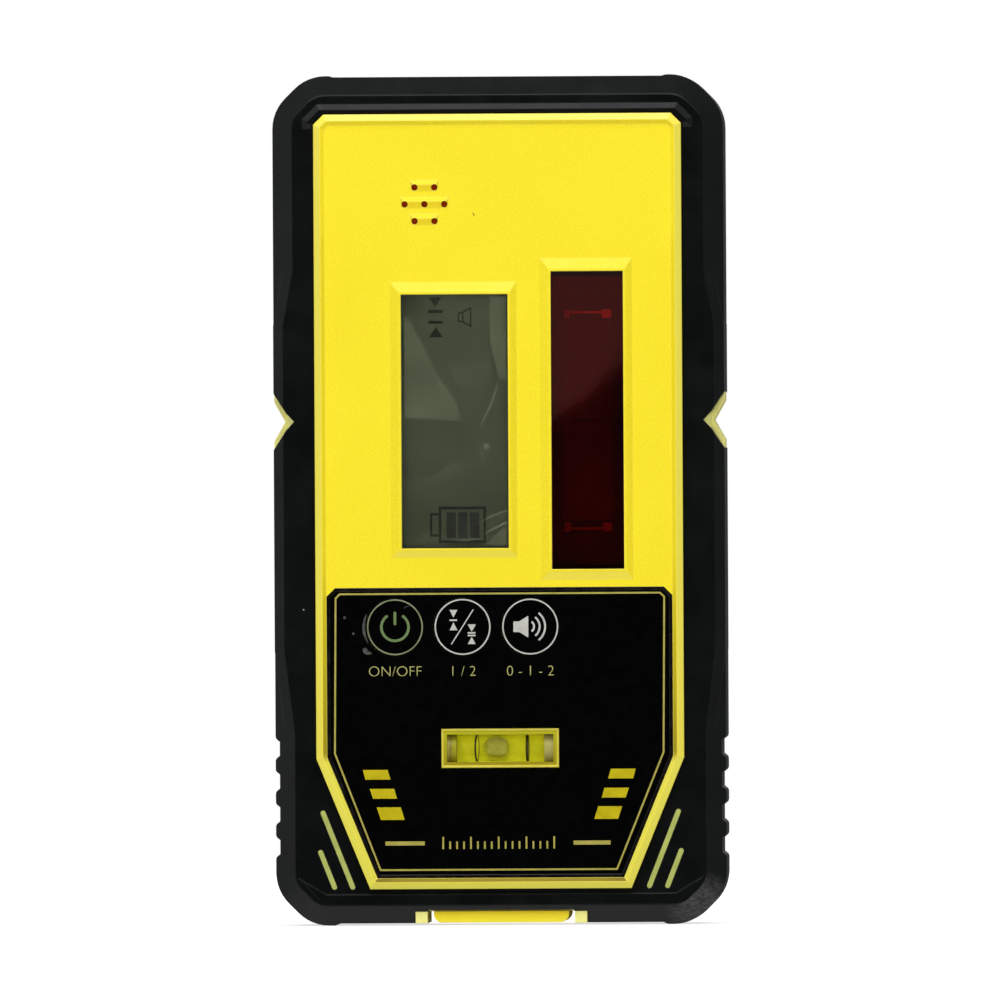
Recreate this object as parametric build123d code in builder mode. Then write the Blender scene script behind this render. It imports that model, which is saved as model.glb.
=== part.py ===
from build123d import *

# Handheld receiver for a rotating laser beam. Two yellow shells in black rubber bumpers hold a
# display, a light sensor behind a red filter, three keys, a bubble vial, a sounder and two AA
# cells behind a hinged door.
# Millimetres. +Z is up, the front faces -Y, the origin is under the middle of the base.
# A "level" is a distance in front of the parting plane between the shells, so y = -level.
import math
import os

# Case outline in the front view
CASE_W = 78.0
CASE_H = 147.0
CORNER_CUT = 6.05
CORNER_ROUND = 7.5
BUMPER_T = 2.4
WALL = 2.0

# Front levels, from the window frames down to the shell under the bumper
FRAME_TOP = 15.0
RIM = 14.95
FACE = 14.3
LIP = 13.8
RING = 13.3
SHELL_FRONT = 11.3
FACE_INSIDE = FACE - WALL
CAVITY_FRONT = SHELL_FRONT - WALL

# Rear levels, from the flat ring of the rear bumper up to the cavity of the rear shell
REAR_RING = -15.0
REAR_FACE = -14.2
REAR_BASE = -13.0
REAR_INSIDE = REAR_FACE + WALL
CAVITY_REAR = REAR_BASE + WALL

# Bumper: bevel round the ring, narrower at the waist, and a raised lip over the panel's top
BEVEL = 3.4
WAIST_BEVEL = 1.7
WAIST_BEVEL_ANGLE = 45
BEVEL_SOFTEN = 0.5
SHELL_BEVEL = 1.8
WAIST_TOP = 103.8
WAIST_TOP_END = 113.3
WAIST_LOW = 47.6
WAIST_LOW_END = 33.7
WAIST_ROOT = 31.0
WAIST_ROOT_LOW = 14.0
WAIST_ROOT_HIGH = 130.0
LIP_SLOPE = 1.0
LIP_HALF_W = 33.8
LIP_LOW = 137.8
LIP_HIGH = 142.1
LIP_CUT = 2.6
PANEL_GROOVE = 0.25
PANEL_GROOVE_DEPTH = 1.2
PAD_LOW_HALF_W = 28.8
PAD_LOW_PROUD = 0.35
PAD_HIGH_HALF_W = 29.2
PAD_HIGH_PROUD = 0.22
PAD_RAMP = 0.8

# Grip notches on the lower sides, and the marking notches level with the sensor's middle
GRIP_COUNT = 4
GRIP_LOW = 13.65
GRIP_PITCH = 5.67
GRIP_MOUTH = 3.6
GRIP_FLOOR = 2.4
GRIP_DEPTH = 0.75
GRIP_SHOULDER = 0.8
GRIP_MARGIN = 2.0
MARK_Z = 87.2
MARK_OVERRUN = 1.0
MARK_MOUTH = 4.9
MARK_KINK_X = 36.75
MARK_KINK = 1.45
MARK_TIP_X = 35.4
MARK_BOSS = 7.0
MARK_BOSS_MOUTH = 3.6
MARK_BOSS_TIP_X = 37.1

# Yellow front panel. Its rim slopes to the outside and the inside of a narrow crest
PANEL_HALF_W = 31.8
PANEL_TOP = 140.3
PANEL_KNEE = 28.9
PANEL_LOW = 6.3
PANEL_LOW_HALF_W = 22.6
PANEL_CUT = 1.75
RIM_DROP = 0.65
RIM_OUTER = 1.1
RIM_CREST = 0.1
RIM_INNER = 0.65

# Corner stripes of the shell that come up through the bumper: middle and overall length
STRIPE_W = 0.8
STRIPES = [(28.2, 13.1, 14.6), (30.0, 9.7, 7.3)]
STRIPE_ANGLE = 68.5
STRIPE_TOP = 13.25
STRIPE_GAP = 0.15

# Display and sensor windows: opening and the foot of its raised frame, as x and z spans
LCD_X = (-16.8, 1.7)
LCD_Z = (65.2, 109.1)
LCD_FOOT_X = (-18.7, 3.2)
LCD_FOOT_Z = (63.6, 111.3)
SENSOR_X = (9.15, 21.65)
SENSOR_Z = (61.5, 113.0)
SENSOR_FOOT_X = (7.2, 23.2)
SENSOR_FOOT_Z = (59.65, 115.3)
FRAME_LIP = 0.35
FRAME_EDGE = 0.12
LENS_TOP = 14.4
LENS_GAP = 0.1
LENS_FLANGE = 1.3
GASKET_T = 0.2
GASKET_BACK = FACE_INSIDE - GASKET_T
LCD_FLANGE_BACK = 11.2
SENSOR_FLANGE_BACK = 11.0

# Sounder behind seven holes in rows of two, three and two, each row in a low ridge. The lower and
# upper edges of the ridge's foot and top are given as reach past the outer holes and place
SPEAKER = (-12.6, 124.7)
SPEAKER_PITCH = 3.43
SPEAKER_ROW = 2.92
SPEAKER_ROWS = [(1, 2), (0, 3), (-1, 2)]
SPEAKER_HOLE_R = 0.55
RIDGE_H = 0.6
RIDGE_FOOT = ((0.35, -0.68), (0.8, 1.25))
RIDGE_TOP = ((0.3, 0.42), (0.35, 0.55))
BUZZER_R = 8.5
BUZZER_LEVELS = (4.4, 11.9)
BUZZER_PORT_R = 1.5
BUZZER_CUP_GAP = 0.2
BUZZER_CUP_T = 1.0
BUZZER_CUP_END = 8.0
MEMBRANE_R = 6.0
MEMBRANE_T = 0.3

# Keypad: recess in the panel, the film in it, and the three keys
KEYPAD_HALF_W = 29.8
KEYPAD_TOP = 58.3
KEYPAD_KNEE = 28.9
KEYPAD_LOW = 8.55
KEYPAD_LOW_HALF_W = 21.4
KEYPAD_CUT = 1.5
KEYPAD_ROUND = 0.6
KEYPAD_FLOOR = 13.7
FILM_T = 0.4
FILM_GAP = 0.2
FILM_EDGE = 0.2
KEY_NAMES = ["power", "beam", "volume"]
KEY_X = [-18.1, -6.4, 5.3]
KEY_Z = 51.6
KEY_R = 5.0
KEY_GAP = 0.15
KEY_T = 0.5
KEY_POCKET_R = 5.4
KEY_POCKET_DEPTH = 0.7
KEY_STEM_R = 1.9
KEY_STEM_HOLE_R = 2.2
KEY_STEM_END = 10.25
SWITCH_SIDE = 6.0
SWITCH_TOP = 9.6
SWITCH_STEM_R = 1.7
SWITCH_STEM_END = 9.45
SWITCH_BORE_R = 1.85
SWITCH_BORE_END = 8.9

# Bubble vial in its cradle
VIAL_Z = 30.6
VIAL_FRAME = (20.3, 6.7)
VIAL_FRAME_T = 0.45
VIAL_FRAME_EDGE = 0.2
VIAL_WINDOW_GAP = 0.1
VIAL_FRAME_TOP = 14.2
VIAL_POCKET_END = 8.1
VIAL_CRADLE_BACK = 7.0
VIAL_FLANGE = (24.0, 10.0)
VIAL_FLANGE_BACK = 11.2
VIAL_AXIS = 11.2
VIAL_BLOCK = (19.2, 5.6)
VIAL_BLOCK_FRONT = 14.0
VIAL_BORE_R = 2.4
VIAL_PLUG_R = 2.38
VIAL_PLUG_LENGTH = 2.0
VIAL_RING_X = 4.4
VIAL_RING_W = 0.35
VIAL_RING_T = 0.05
BUBBLE_X = -0.7
BUBBLE_HALF_L = 2.3
BUBBLE_R = 2.15

# Boards, display stack and sensor stack
BOARD_LEVELS = (5.6, 7.2)
BOARD_HALF_W = 27.8
BOARD_Z = (42.0, 115.5)
STANDOFF_X = 25.4
STANDOFF_Z = [45.0, 112.0]
STANDOFF_R = 2.2
BOARD_HOLE_R = 1.1
BOARD_SCREW_R = 0.85
BOARD_SCREW_HOLE_R = 0.95
BOARD_SCREW_END = 10.8
BOARD_SCREW_HOLE_END = 11.0
BOARD_SCREW_HEAD_R = 2.0
BOARD_SCREW_HEAD_T = 1.4
LCD_GLASS = (20.6, 46.0)
LCD_GLASS_LEVELS = (8.5, 11.1)
LCD_FRAME_GAP = 0.1
LCD_FRAME_T = 1.4
LCD_STRIP_L = 18.0
LCD_STRIP_W = 2.0
LCD_LIGHT = (20.0, 40.4)
LCD_LIGHT_LEVELS = (7.4, 8.4)
SENSOR_BOARD = (14.0, 50.0)
SENSOR_BOARD_LEVELS = (8.2, 9.2)
CELL_SIZE = (9.0, 17.0)
CELL_T = 0.35
CELL_GAP = 0.6
RIBBON_LENGTH = 8.2
RIBBON_W = 0.45
RIBBON_T = 0.2
RIBBON_PAD_W = {-1: 1.0, 1: 1.6}
RIBBON_PAD_H = 1.5
RIBBON_PAD_OUTER = 0.5
RIBBON_OFFSET = 18.7
HEADER = (12.0, 2.5)
HEADER_Z = 66.0
CHIP = (-10.0, 90.0, 10.0, 10.0, 1.5)
AMPLIFIERS = [(14.0, 80.0), (14.0, 95.0)]
AMPLIFIER = (4.0, 5.0, 1.5)
CAPACITORS = [(-20.0, 104.0), (20.0, 104.0)]
CAPACITOR_R = 2.5
CAPACITOR_H = 4.5

# Case screws from the back into bosses of the front shell
SCREW_X = 31.2
SCREW_Z = [10.5, 74.0, 136.5]
SCREW_R = 1.45
SCREW_HOLE_R = 1.5
SCREW_CLEAR_R = 1.7
SCREW_SEAT = -9.0
SCREW_TIP = 7.5
SCREW_HEAD_R = 2.75
SCREW_HEAD_T = 2.2
SCREW_WELL_R = 3.1
SCREW_CROSS = (3.4, 0.9, 1.2)
FRONT_BOSS_R = 3.0
FRONT_BOSS = (0.3, 10.5)
FRONT_BOSS_BORE_END = 9.0
REAR_BOSS_R = 4.2
REAR_BOSS = (-12.0, -0.3)

# Seal between the shells
SEAL_INSET = 2.95
SEAL_W = 0.9
SEAL_DEPTH = 0.8

# Rear panel, brass insert for the rod clamp
REAR_HALF_W = 27.0
REAR_LOW = 5.8
REAR_HIGH = 138.6
REAR_CUT = 4.0
REAR_ROUND = 0.6
CLAMP_Z = 100.0
CLAMP_SEAT_R = 11.0
CLAMP_SEAT = -13.6
CLAMP_BOSS_R = 7.5
CLAMP_BOSS_END = -4.0
INSERT_R = 4.98
INSERT_HOLE_R = 5.0
INSERT_END = -5.0
INSERT_THREAD_R = 2.55
INSERT_THREAD_END = -5.8

# Battery bay, open to the rear
BAY_HALF_W = 15.3
BAY_WALL = 2.2
BAY_Z = (8.6, 64.2)
BAY_BOTTOM_T = 1.6
BAY_FRONT = 2.9
BAY_FRONT_T = 1.2
BAY_LEDGE = -11.7
BAY_LEDGE_ROOT = -9.7
BAY_LEDGE_LOW = 4.0

# Battery door: plate, neck through the bumper, tab under the base, hinge barrel at the top
DOOR_HALF_W = 17.2
DOOR_LOW = 6.5
DOOR_T = 2.0
DOOR_GAP = 0.3
NECK_HALF_W = 11.7
TAB_LOW = 0.45
TAB_TOP = 2.4
TAB_FRONT = 11.8
TAB_ROUND = 1.5
TAB_BEVEL = 2.5
HINGE_Z = 67.6
HINGE_LEVEL = -12.6
BARREL_R = 1.6
BARREL_HALF_L = 17.0
BARREL_POCKET_R = 1.95
HINGE_POCKET_TOP = 69.9
HINGE_BLOCK_HALF_W = 21.0
HINGE_BLOCK_TOP = 71.5
HINGE_BLOCK_END = -9.0
PIN_R = 0.75
PIN_HALF_L = 19.6
PIN_HOLE_R = 0.8
PIN_SEAT_R = 0.77
DOOR_RIBS = 5
DOOR_RIB = (16.0, 0.9, 0.4)
DOOR_RIB_Z = 11.0
DOOR_RIB_PITCH = 2.2
DOOR_SEAL_X = (15.7, 17.0)
DOOR_SEAL_LOW = (6.9, 8.3)
DOOR_SEAL_HIGH = (64.4, 65.4)

# Cut-out in the bumpers under the base, with a guard rib of the shells at each end
CUTOUT_HALF_W = 14.9
CUTOUT_TOP = 2.65
CUTOUT_STEP_HALF_W = 12.6
CUTOUT_STEP = 0.3
NECK_CUT_HALF_W = 12.1
GUARD_X = 13.8
GUARD_W = 2.1
GUARD_Z = (0.35, 4.0)
GUARD_FRONT = 12.2
GUARD_REAR = -11.0

# AA cells, leaf springs and contacts. The fold gives level and share of the rise
AA_R = 7.1
AA_LENGTH = 50.5
AA_NUB_R = 2.75
AA_NUB = 1.5
AA_X = 7.6
AA_LEVEL = -4.7
CONTACT_T = 0.4
CONTACT_DIMPLE = 0.3
CONTACT_DIMPLE_R = 2.0
CONTACT_LEVELS = (-9.0, 2.5)
CONTACT_HALF_W = 4.5
TAIL_HALF_W = 1.5
TAIL_END = 5.5
TAIL_SLOT_GAP = 0.2
SPRING_T = 0.35
SPRING_W = 6.0
SPRING_BEND = 0.5
SPRING_FOLD = [(-8.6, 0.0), (-1.4, 0.0), (-8.0, 0.45), (-1.8, 1.0)]

os.makedirs("parts", exist_ok=True)


def front(level):
    """Plane that faces the front at a level. Its x and y are the part's X and Z."""
    return Plane.XZ.offset(level)


def middle(span):
    """Middle of a span."""
    return (span[0] + span[1]) / 2


def grown(span, by):
    """A span made longer at both ends."""
    return (span[0] - by, span[1] + by)


def centred(middle_at, size):
    """Span of a given size about a middle."""
    return (middle_at - size / 2, middle_at + size / 2)


def case_outline(level, inset=0.0):
    """Outline of the case in the front view, drawn in by inset."""
    with BuildSketch(front(level)) as outline:
        with Locations((0, CASE_H / 2)):
            Rectangle(CASE_W, CASE_H)
        chamfer(outline.vertices(), CORNER_CUT)
        fillet(outline.vertices(), CORNER_ROUND)
        if inset:
            offset(amount=-inset)
    return outline.sketch


def tapered_outline(level, half_w, top, knee, low, low_half_w, cut, inset, corner):
    """Tall outline with cut top corners, whose sides turn in below the knee."""
    with BuildSketch(front(level)) as outline:
        with BuildLine():
            Polyline(
                (-low_half_w, low),
                (low_half_w, low),
                (half_w, knee),
                (half_w, top),
                (-half_w, top),
                (-half_w, knee),
                close=True,
            )
        make_face()
        chamfer(outline.vertices().group_by(Axis.Y)[-1], cut)
        if inset:
            offset(amount=-inset, kind=Kind.INTERSECTION)
        if corner:
            fillet(outline.vertices(), corner)
    return outline.sketch


def panel_outline(level, inset=0.0):
    """Outline of the yellow front panel."""
    return tapered_outline(
        level, PANEL_HALF_W, PANEL_TOP, PANEL_KNEE, PANEL_LOW, PANEL_LOW_HALF_W, PANEL_CUT, inset, 0
    )


def keypad_outline(level, inset=0.0):
    """Outline of the keypad recess in the panel."""
    return tapered_outline(
        level,
        KEYPAD_HALF_W,
        KEYPAD_TOP,
        KEYPAD_KNEE,
        KEYPAD_LOW,
        KEYPAD_LOW_HALF_W,
        KEYPAD_CUT,
        inset,
        KEYPAD_ROUND,
    )


def cut_corner_outline(level, half_w, low, high, cut):
    """Rectangle with all four corners cut."""
    with BuildSketch(front(level)) as outline:
        with Locations((0, (low + high) / 2)):
            Rectangle(2 * half_w, high - low)
        chamfer(outline.vertices(), cut)
    return outline.sketch


def rectangle(level, x_span, z_span):
    """Rectangle at a level, from its spans in x and z."""
    with BuildSketch(front(level)) as outline:
        with Locations((middle(x_span), middle(z_span))):
            Rectangle(x_span[1] - x_span[0], z_span[1] - z_span[0])
    return outline.sketch


def slab(x_span, levels, z_span, mode=Mode.ADD):
    """Block from its spans in x, level and z."""
    extrude(rectangle(levels[0], x_span, z_span), amount=levels[1] - levels[0], mode=mode)


def rods(centres, radius, levels, mode=Mode.ADD):
    """Round rods along the depth, at (x, z) centres."""
    with BuildSketch(front(levels[0])) as ends:
        with Locations(*centres):
            Circle(radius)
    extrude(ends.sketch, amount=levels[1] - levels[0], mode=mode)


def axle(level, z, radius, x_span, mode=Mode.ADD):
    """Round rod along x."""
    with BuildSketch(Plane.YZ.offset(x_span[0])) as end:
        with Locations((-level, z)):
            Circle(radius)
    extrude(end.sketch, amount=x_span[1] - x_span[0], mode=mode)


def mark_outline(level, side, outer, points):
    """Sideways V of a marking notch on one side, mirrored about the mark's height."""
    upper = [(side * outer[0], MARK_Z + outer[1])]
    upper += [(side * x, MARK_Z + up) for x, up in points]
    lower = [(x, 2 * MARK_Z - z) for x, z in reversed(upper[:-1])]
    with BuildSketch(front(level)) as outline:
        with BuildLine():
            Polyline(*upper, *lower, close=True)
        make_face()
    return outline.sketch


def stripe_outline(level, grow=0.0):
    """The four corner stripes, two on each side."""
    with BuildSketch(front(level)) as outline:
        for side in (-1, 1):
            for x, z, length in STRIPES:
                with Locations((side * x, z)):
                    SlotOverall(length + grow, STRIPE_W + grow, rotation=side * STRIPE_ANGLE)
    return outline.sketch


def add_marks_and_guards(levels, guard_levels):
    """Yellow blocks of a shell in the marking notches and beside the base cut-out."""
    slope = (MARK_MOUTH - MARK_KINK) / (CASE_W / 2 - MARK_KINK_X)
    for side in (-1, 1):
        tip = [(MARK_KINK_X, MARK_KINK), (MARK_TIP_X, 0)]
        extrude(mark_outline(levels[0], side, (CASE_W / 2, MARK_MOUTH), tip), amount=levels[1] - levels[0])
        reach = (CASE_W / 2 + MARK_OVERRUN, MARK_BOSS_MOUTH + slope * MARK_OVERRUN)
        notch = mark_outline(levels[0], side, reach, [(MARK_BOSS_TIP_X, 0)])
        extrude(notch, amount=levels[1] - levels[0], mode=Mode.SUBTRACT)
        guard_x = grown((side * GUARD_X, side * GUARD_X), GUARD_W / 2)
        slab(guard_x, guard_levels, GUARD_Z)


def cut_bumper_edges(levels):
    """Grip notches, marking notches, pad reliefs and the base cut-out, through one bumper."""
    depth = levels[1] - levels[0]
    half_w = CASE_W / 2
    slope = (MARK_MOUTH - MARK_KINK) / (half_w - MARK_KINK_X)
    for side in (-1, 1):
        reach = (half_w + MARK_OVERRUN, MARK_MOUTH + slope * MARK_OVERRUN)
        kinked = [(MARK_KINK_X, MARK_KINK), (MARK_TIP_X, 0)]
        extrude(mark_outline(levels[0], side, reach, kinked), amount=depth, mode=Mode.SUBTRACT)
        edge_x = side * half_w
        floor_x = side * (half_w - GRIP_DEPTH)
        root_x = side * (half_w - GRIP_DEPTH - GRIP_MARGIN)
        low = GRIP_LOW - GRIP_MOUTH / 2 - GRIP_MARGIN
        high = GRIP_LOW + (GRIP_COUNT - 1) * GRIP_PITCH + GRIP_MOUTH / 2 + GRIP_MARGIN
        toothed = [(root_x, low), (edge_x, low)]
        for row in range(GRIP_COUNT):
            z = GRIP_LOW + row * GRIP_PITCH
            toothed += [(edge_x, z - GRIP_MOUTH / 2), (floor_x, z - GRIP_FLOOR / 2)]
            toothed += [(floor_x, z + GRIP_FLOOR / 2), (edge_x, z + GRIP_MOUTH / 2)]
        toothed += [(edge_x, high), (root_x, high)]
        with BuildSketch(front(levels[0])) as teeth:
            with BuildLine():
                Polyline(*toothed, close=True)
            make_face()
            shoulders = teeth.vertices().filter_by_position(Axis.Y, low + GRIP_MARGIN / 2, high - GRIP_MARGIN / 2)
            fillet(shoulders.group_by(Axis.X)[-1 if side > 0 else 0], GRIP_SHOULDER)
        with BuildSketch(front(levels[0])) as grips:
            add(rectangle(levels[0], tuple(sorted((root_x, edge_x))), (low, high)))
            add(teeth.sketch, mode=Mode.SUBTRACT)
        extrude(grips.sketch, amount=depth, mode=Mode.SUBTRACT)
    for edge, relief_z, relief_half_w in (
        (0.0, PAD_LOW_PROUD, PAD_LOW_HALF_W),
        (CASE_H, CASE_H - PAD_HIGH_PROUD, PAD_HIGH_HALF_W),
    ):
        with BuildSketch(front(levels[0])) as relief:
            with BuildLine():
                Polyline(
                    (-relief_half_w, edge),
                    (-relief_half_w + PAD_RAMP, relief_z),
                    (relief_half_w - PAD_RAMP, relief_z),
                    (relief_half_w, edge),
                    close=True,
                )
            make_face()
        extrude(relief.sketch, amount=depth, mode=Mode.SUBTRACT)
    slab((-CUTOUT_HALF_W, CUTOUT_HALF_W), levels, (0, CUTOUT_TOP - CUTOUT_STEP), Mode.SUBTRACT)
    slab((-CUTOUT_STEP_HALF_W, CUTOUT_STEP_HALF_W), levels, (0, CUTOUT_TOP), Mode.SUBTRACT)


def add_waist(side, outward):
    """Wider flat at the waist of a bumper, on one side, towards the front (1) or rear (-1)."""
    ring = RING if outward > 0 else -REAR_RING
    half_w = CASE_W / 2
    rise_top = (WAIST_TOP_END - WAIST_TOP) / WAIST_BEVEL
    rise_low = (WAIST_LOW - WAIST_LOW_END) / WAIST_BEVEL
    points = [
        (WAIST_ROOT, WAIST_ROOT_HIGH),
        (half_w - (WAIST_ROOT_HIGH - WAIST_TOP) / rise_top, WAIST_ROOT_HIGH),
        (half_w, WAIST_TOP),
        (half_w, WAIST_LOW),
        (half_w - (WAIST_LOW - WAIST_ROOT_LOW) / rise_low, WAIST_ROOT_LOW),
        (WAIST_ROOT, WAIST_ROOT_LOW),
    ]
    for start, amount, taper in (
        (ring - BEVEL, BEVEL - WAIST_BEVEL, 0),
        (ring - WAIST_BEVEL, WAIST_BEVEL, WAIST_BEVEL_ANGLE),
    ):
        with BuildSketch(front(outward * start)) as foot:
            with BuildLine():
                Polyline(*[(side * x, z) for x, z in points], close=True)
            make_face()
        extrude(foot.sketch, amount=amount, dir=(0, -outward, 0), taper=taper)


def keep(piece, name):
    """Label a finished piece and write it."""
    piece.part.label = name
    export_step(piece.part, f"parts/{name}.step")


# Front shell: the filled outer form first, because the bumper is moulded over it
with BuildPart() as front_body:
    extrude(case_outline(0, BUMPER_T), amount=SHELL_FRONT)
    chamfer(front_body.faces().sort_by(Axis.Y)[0].edges(), SHELL_BEVEL)
    rim_foot = RIM - RIM_DROP
    extrude(panel_outline(SHELL_FRONT), amount=rim_foot - SHELL_FRONT)
    outer_angle = math.degrees(math.atan2(RIM_OUTER, RIM_DROP))
    extrude(panel_outline(rim_foot), amount=RIM_DROP, taper=outer_angle)
    inner_angle = math.degrees(math.atan2(RIM_INNER, RIM - FACE))
    inside_rim = panel_outline(FACE, RIM_OUTER + RIM_CREST + RIM_INNER)
    extrude(inside_rim, amount=RIM - FACE, taper=-inner_angle, mode=Mode.SUBTRACT)
    for foot_x, foot_z, open_x, open_z in (
        (LCD_FOOT_X, LCD_FOOT_Z, LCD_X, LCD_Z),
        (SENSOR_FOOT_X, SENSOR_FOOT_Z, SENSOR_X, SENSOR_Z),
    ):
        foot = rectangle(FACE, foot_x, foot_z)
        lip = rectangle(FRAME_TOP, grown(open_x, FRAME_LIP), grown(open_z, FRAME_LIP))
        loft([foot.face(), lip.face()])
    chamfer(front_body.edges().group_by(Axis.Y)[0], FRAME_EDGE)
    for row, count in SPEAKER_ROWS:
        row_x = centred(SPEAKER[0], (count - 1) * SPEAKER_PITCH)
        row_z = SPEAKER[1] + row * SPEAKER_ROW
        ridge_ends = []
        for level, (low_edge, high_edge) in ((FACE, RIDGE_FOOT), (FACE + RIDGE_H, RIDGE_TOP)):
            low_x, high_x = grown(row_x, low_edge[0]), grown(row_x, high_edge[0])
            low_z, high_z = row_z + low_edge[1], row_z + high_edge[1]
            with BuildSketch(front(level)) as ridge_end:
                with BuildLine():
                    Polyline(
                        (low_x[0], low_z), (low_x[1], low_z), (high_x[1], high_z), (high_x[0], high_z), close=True
                    )
                make_face()
            ridge_ends.append(ridge_end.sketch.face())
        loft(ridge_ends)
    extrude(stripe_outline(SHELL_FRONT), amount=STRIPE_TOP - SHELL_FRONT)
    add_marks_and_guards((0, MARK_BOSS), (0, GUARD_FRONT))

with BuildPart() as front_bumper:
    extrude(case_outline(0), amount=RING)
    chamfer(front_bumper.faces().sort_by(Axis.Y)[0].edges(), BEVEL)
    fillet(front_bumper.edges().group_by(Axis.Y)[0], BEVEL_SOFTEN)
    for side in (-1, 1):
        add_waist(side, 1)
    lip_angle = math.degrees(math.atan2(LIP_SLOPE, LIP - RING))
    with BuildSketch(front(RING)) as lip_foot:
        with Locations((0, (LIP_LOW + LIP_HIGH) / 2)):
            Rectangle(2 * LIP_HALF_W, LIP_HIGH - LIP_LOW)
        chamfer(lip_foot.vertices().group_by(Axis.Y)[-1], LIP_CUT)
    extrude(lip_foot.sketch, amount=LIP - RING, taper=lip_angle)
    add(front_body.part, mode=Mode.SUBTRACT)
    extrude(panel_outline(LIP - PANEL_GROOVE_DEPTH, -PANEL_GROOVE), amount=RIM, mode=Mode.SUBTRACT)
    extrude(stripe_outline(LIP - PANEL_GROOVE_DEPTH, STRIPE_GAP), amount=RIM, mode=Mode.SUBTRACT)
    cut_bumper_edges((0, RIM))
keep(front_bumper, "front_bumper")

# Front shell: cavity, bosses, windows, keypad recess
key_centres = [(x, KEY_Z) for x in KEY_X]
standoffs = [(side * STANDOFF_X, z) for side in (-1, 1) for z in STANDOFF_Z]
case_screw_places = [(side * SCREW_X, z) for side in (-1, 1) for z in SCREW_Z]
vial_window_x = grown((-VIAL_FRAME[0] / 2, VIAL_FRAME[0] / 2), VIAL_WINDOW_GAP)
vial_window_z = grown((VIAL_Z - VIAL_FRAME[1] / 2, VIAL_Z + VIAL_FRAME[1] / 2), VIAL_WINDOW_GAP)
speaker_holes = []
for row, count in SPEAKER_ROWS:
    for column in range(count):
        x = SPEAKER[0] + (column - (count - 1) / 2) * SPEAKER_PITCH
        speaker_holes.append((x, SPEAKER[1] + row * SPEAKER_ROW))

with BuildPart() as front_shell:
    add(front_body.part)
    extrude(case_outline(0, BUMPER_T + WALL), amount=CAVITY_FRONT, mode=Mode.SUBTRACT)
    extrude(panel_outline(CAVITY_FRONT, WALL), amount=FACE_INSIDE - CAVITY_FRONT, mode=Mode.SUBTRACT)
    rods(case_screw_places, FRONT_BOSS_R, FRONT_BOSS)
    rods(case_screw_places, SCREW_HOLE_R, (FRONT_BOSS[0], FRONT_BOSS_BORE_END), Mode.SUBTRACT)
    rods(standoffs, STANDOFF_R, (BOARD_LEVELS[1], FACE_INSIDE))
    rods(standoffs, BOARD_SCREW_HOLE_R, (BOARD_LEVELS[1], BOARD_SCREW_HOLE_END), Mode.SUBTRACT)
    cup_r = BUZZER_R + BUZZER_CUP_GAP
    rods([SPEAKER], cup_r + BUZZER_CUP_T, (BUZZER_CUP_END, FACE_INSIDE))
    rods([SPEAKER], cup_r, (BUZZER_CUP_END, FACE_INSIDE), Mode.SUBTRACT)
    slab(LCD_X, (FACE_INSIDE, FRAME_TOP), LCD_Z, Mode.SUBTRACT)
    slab(SENSOR_X, (FACE_INSIDE, FRAME_TOP), SENSOR_Z, Mode.SUBTRACT)
    rods(speaker_holes, SPEAKER_HOLE_R, (FACE_INSIDE, FACE + RIDGE_H), Mode.SUBTRACT)
    extrude(keypad_outline(KEYPAD_FLOOR), amount=FACE - KEYPAD_FLOOR, mode=Mode.SUBTRACT)
    rods(key_centres, KEY_POCKET_R, (KEYPAD_FLOOR - KEY_POCKET_DEPTH, KEYPAD_FLOOR), Mode.SUBTRACT)
    rods(key_centres, KEY_STEM_HOLE_R, (FACE_INSIDE, KEYPAD_FLOOR), Mode.SUBTRACT)
    slab(vial_window_x, (FACE_INSIDE, KEYPAD_FLOOR), vial_window_z, Mode.SUBTRACT)
keep(front_shell, "front_shell")

# Rear shell: filled outer form, then the bumper moulded over it
with BuildPart() as rear_body:
    extrude(case_outline(REAR_BASE, BUMPER_T), amount=-REAR_BASE)
    chamfer(rear_body.faces().sort_by(Axis.Y)[-1].edges(), SHELL_BEVEL)
    rear_panel = cut_corner_outline(REAR_FACE, REAR_HALF_W, REAR_LOW, REAR_HIGH, REAR_CUT)
    extrude(rear_panel, amount=REAR_BASE - REAR_FACE)
    fillet(rear_body.faces().sort_by(Axis.Y)[-1].edges(), REAR_ROUND)
    add_marks_and_guards((-MARK_BOSS, 0), (GUARD_REAR, 0))

with BuildPart() as rear_bumper:
    extrude(case_outline(REAR_RING), amount=-REAR_RING)
    chamfer(rear_bumper.faces().sort_by(Axis.Y)[-1].edges(), BEVEL)
    fillet(rear_bumper.edges().group_by(Axis.Y)[-1], BEVEL_SOFTEN)
    for side in (-1, 1):
        add_waist(side, -1)
    add(rear_body.part, mode=Mode.SUBTRACT)
    rear_opening = cut_corner_outline(REAR_RING, REAR_HALF_W, REAR_LOW, REAR_HIGH, REAR_CUT)
    extrude(rear_opening, amount=REAR_BASE - REAR_RING, mode=Mode.SUBTRACT)
    rods(case_screw_places, SCREW_WELL_R, (REAR_RING, REAR_BASE), Mode.SUBTRACT)
    cut_bumper_edges((REAR_RING, 0))
    neck_x = (-NECK_CUT_HALF_W, NECK_CUT_HALF_W)
    slab(neck_x, (REAR_RING, CAVITY_REAR), (0, REAR_LOW + REAR_ROUND), Mode.SUBTRACT)
keep(rear_bumper, "rear_bumper")

# Seal cord in a groove of the rear shell's rim
with BuildPart() as case_seal:
    extrude(case_outline(-SEAL_DEPTH, SEAL_INSET), amount=SEAL_DEPTH)
    extrude(case_outline(-SEAL_DEPTH, SEAL_INSET + SEAL_W), amount=SEAL_DEPTH, mode=Mode.SUBTRACT)
keep(case_seal, "case_seal")

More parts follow.
